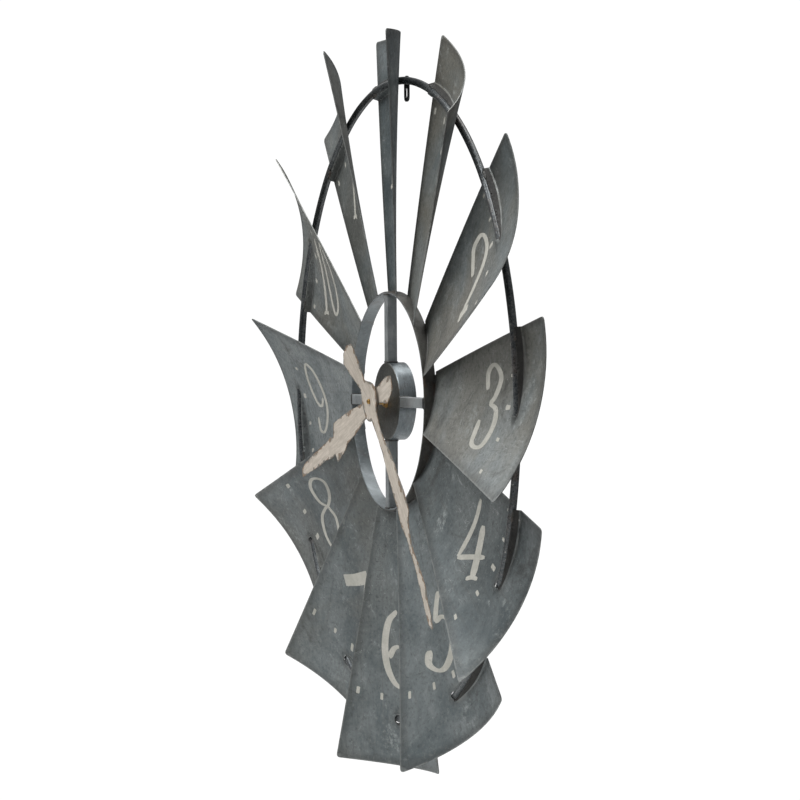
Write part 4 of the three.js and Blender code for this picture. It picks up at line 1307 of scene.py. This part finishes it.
def add_light(name, place, size, power):
    """A square soft light that is aimed at the middle of the clock."""
    data = bpy.data.lights.new(name, "AREA")
    data.shape = "SQUARE"
    data.size = size
    data.energy = power
    light = bpy.data.objects.new(name, data)
    bpy.context.scene.collection.objects.link(light)
    light.location = place
    light.rotation_euler = (-Vector(place)).to_track_quat("-Z", "Y").to_euler()


def make_world():
    """White to the eye. As a source of light it is brightest above and darkest at the clock's own level,
    like a light tent."""
    world = bpy.data.worlds.new("studio")
    bpy.context.scene.world = world
    world.use_nodes = True
    nodes, link = world.node_tree.nodes, world.node_tree.links.new
    direction = nodes.new("ShaderNodeSeparateXYZ")
    link(nodes.new("ShaderNodeTexCoord").outputs["Generated"], direction.inputs["Vector"])
    height = nodes.new("ShaderNodeMapRange")
    height.inputs["From Min"].default_value = -1
    link(direction.outputs["Z"], height.inputs["Value"])
    tent = nodes.new("ShaderNodeValToRGB")
    tent.color_ramp.elements.new(0.5)
    for stop, (place, grey) in zip(tent.color_ramp.elements, ((0.2, 0.14), (0.5, 0.09), (0.85, 0.42))):
        stop.position = place
        stop.color = (grey, grey, grey, 1)
    link(height.outputs["Result"], tent.inputs["Fac"])
    seen = nodes.new("ShaderNodeMix")
    seen.data_type = "RGBA"
    link(nodes.new("ShaderNodeLightPath").outputs["Is Camera Ray"], seen.inputs[0])
    link(tent.outputs["Color"], seen.inputs[6])
    seen.inputs[7].default_value = (1.05, 1.05, 1.05, 1)
    link(seen.outputs[2], nodes["Background"].inputs["Color"])


def make_lights():
    add_light("key", (-1.0, -2.4, 3.1), 1.8, 110)
    add_light("top", (1.1, -0.7, 3.3), 1.5, 66)
    add_light("top_back", (-0.9, 1.3, 3.4), 1.8, 40)
    add_light("side", (-3.4, -1.0, 1.4), 1.4, 7)
    add_light("low_side", (-3.2, -1.3, -0.9), 1.4, 4)
    add_light("front", (-2.2, -3.6, 0.2), 1.6, 8)
    add_light("back", (-1.6, 3.4, 1.0), 2.4, 3)


def make_camera():
    """A long lens, level with the clock and well round to its 3 o'clock side."""
    place = Vector((4.0511, -1.4496, 0.1017))
    azimuth, elevation, roll = (math.radians(a) for a in (70.318, 1.337, -0.436))
    back = Vector((math.sin(azimuth) * math.cos(elevation), -math.cos(azimuth) * math.cos(elevation),
                   math.sin(elevation)))
    side = Vector((math.cos(azimuth), math.sin(azimuth), 0))
    up = back.cross(side)
    right = side * math.cos(roll) + up * math.sin(roll)
    top = up * math.cos(roll) - side * math.sin(roll)
    data = bpy.data.cameras.new("camera")
    data.lens = 156.92
    data.sensor_width = 36
    data.clip_end = 60
    camera = bpy.data.objects.new("camera", data)
    bpy.context.scene.collection.objects.link(camera)
    axes = Matrix((right, top, back)).transposed()
    camera.matrix_world = Matrix.Translation(place) @ axes.to_4x4()
    bpy.context.scene.camera = camera


make_blades()
make_numerals()
make_minute_marks()
make_hoops()
make_spokes()
make_spoke_welds()
make_base_welds()
make_ring_welds()
make_cup()
make_stem()
make_hex_nut()
make_washer()
make_minute_nut()
make_hour_hand()
make_minute_hand()
make_hanger()
make_knob()
make_battery()
make_floor()
make_world()
make_lights()
make_camera()
bpy.context.scene.view_settings.view_transform = "Standard"
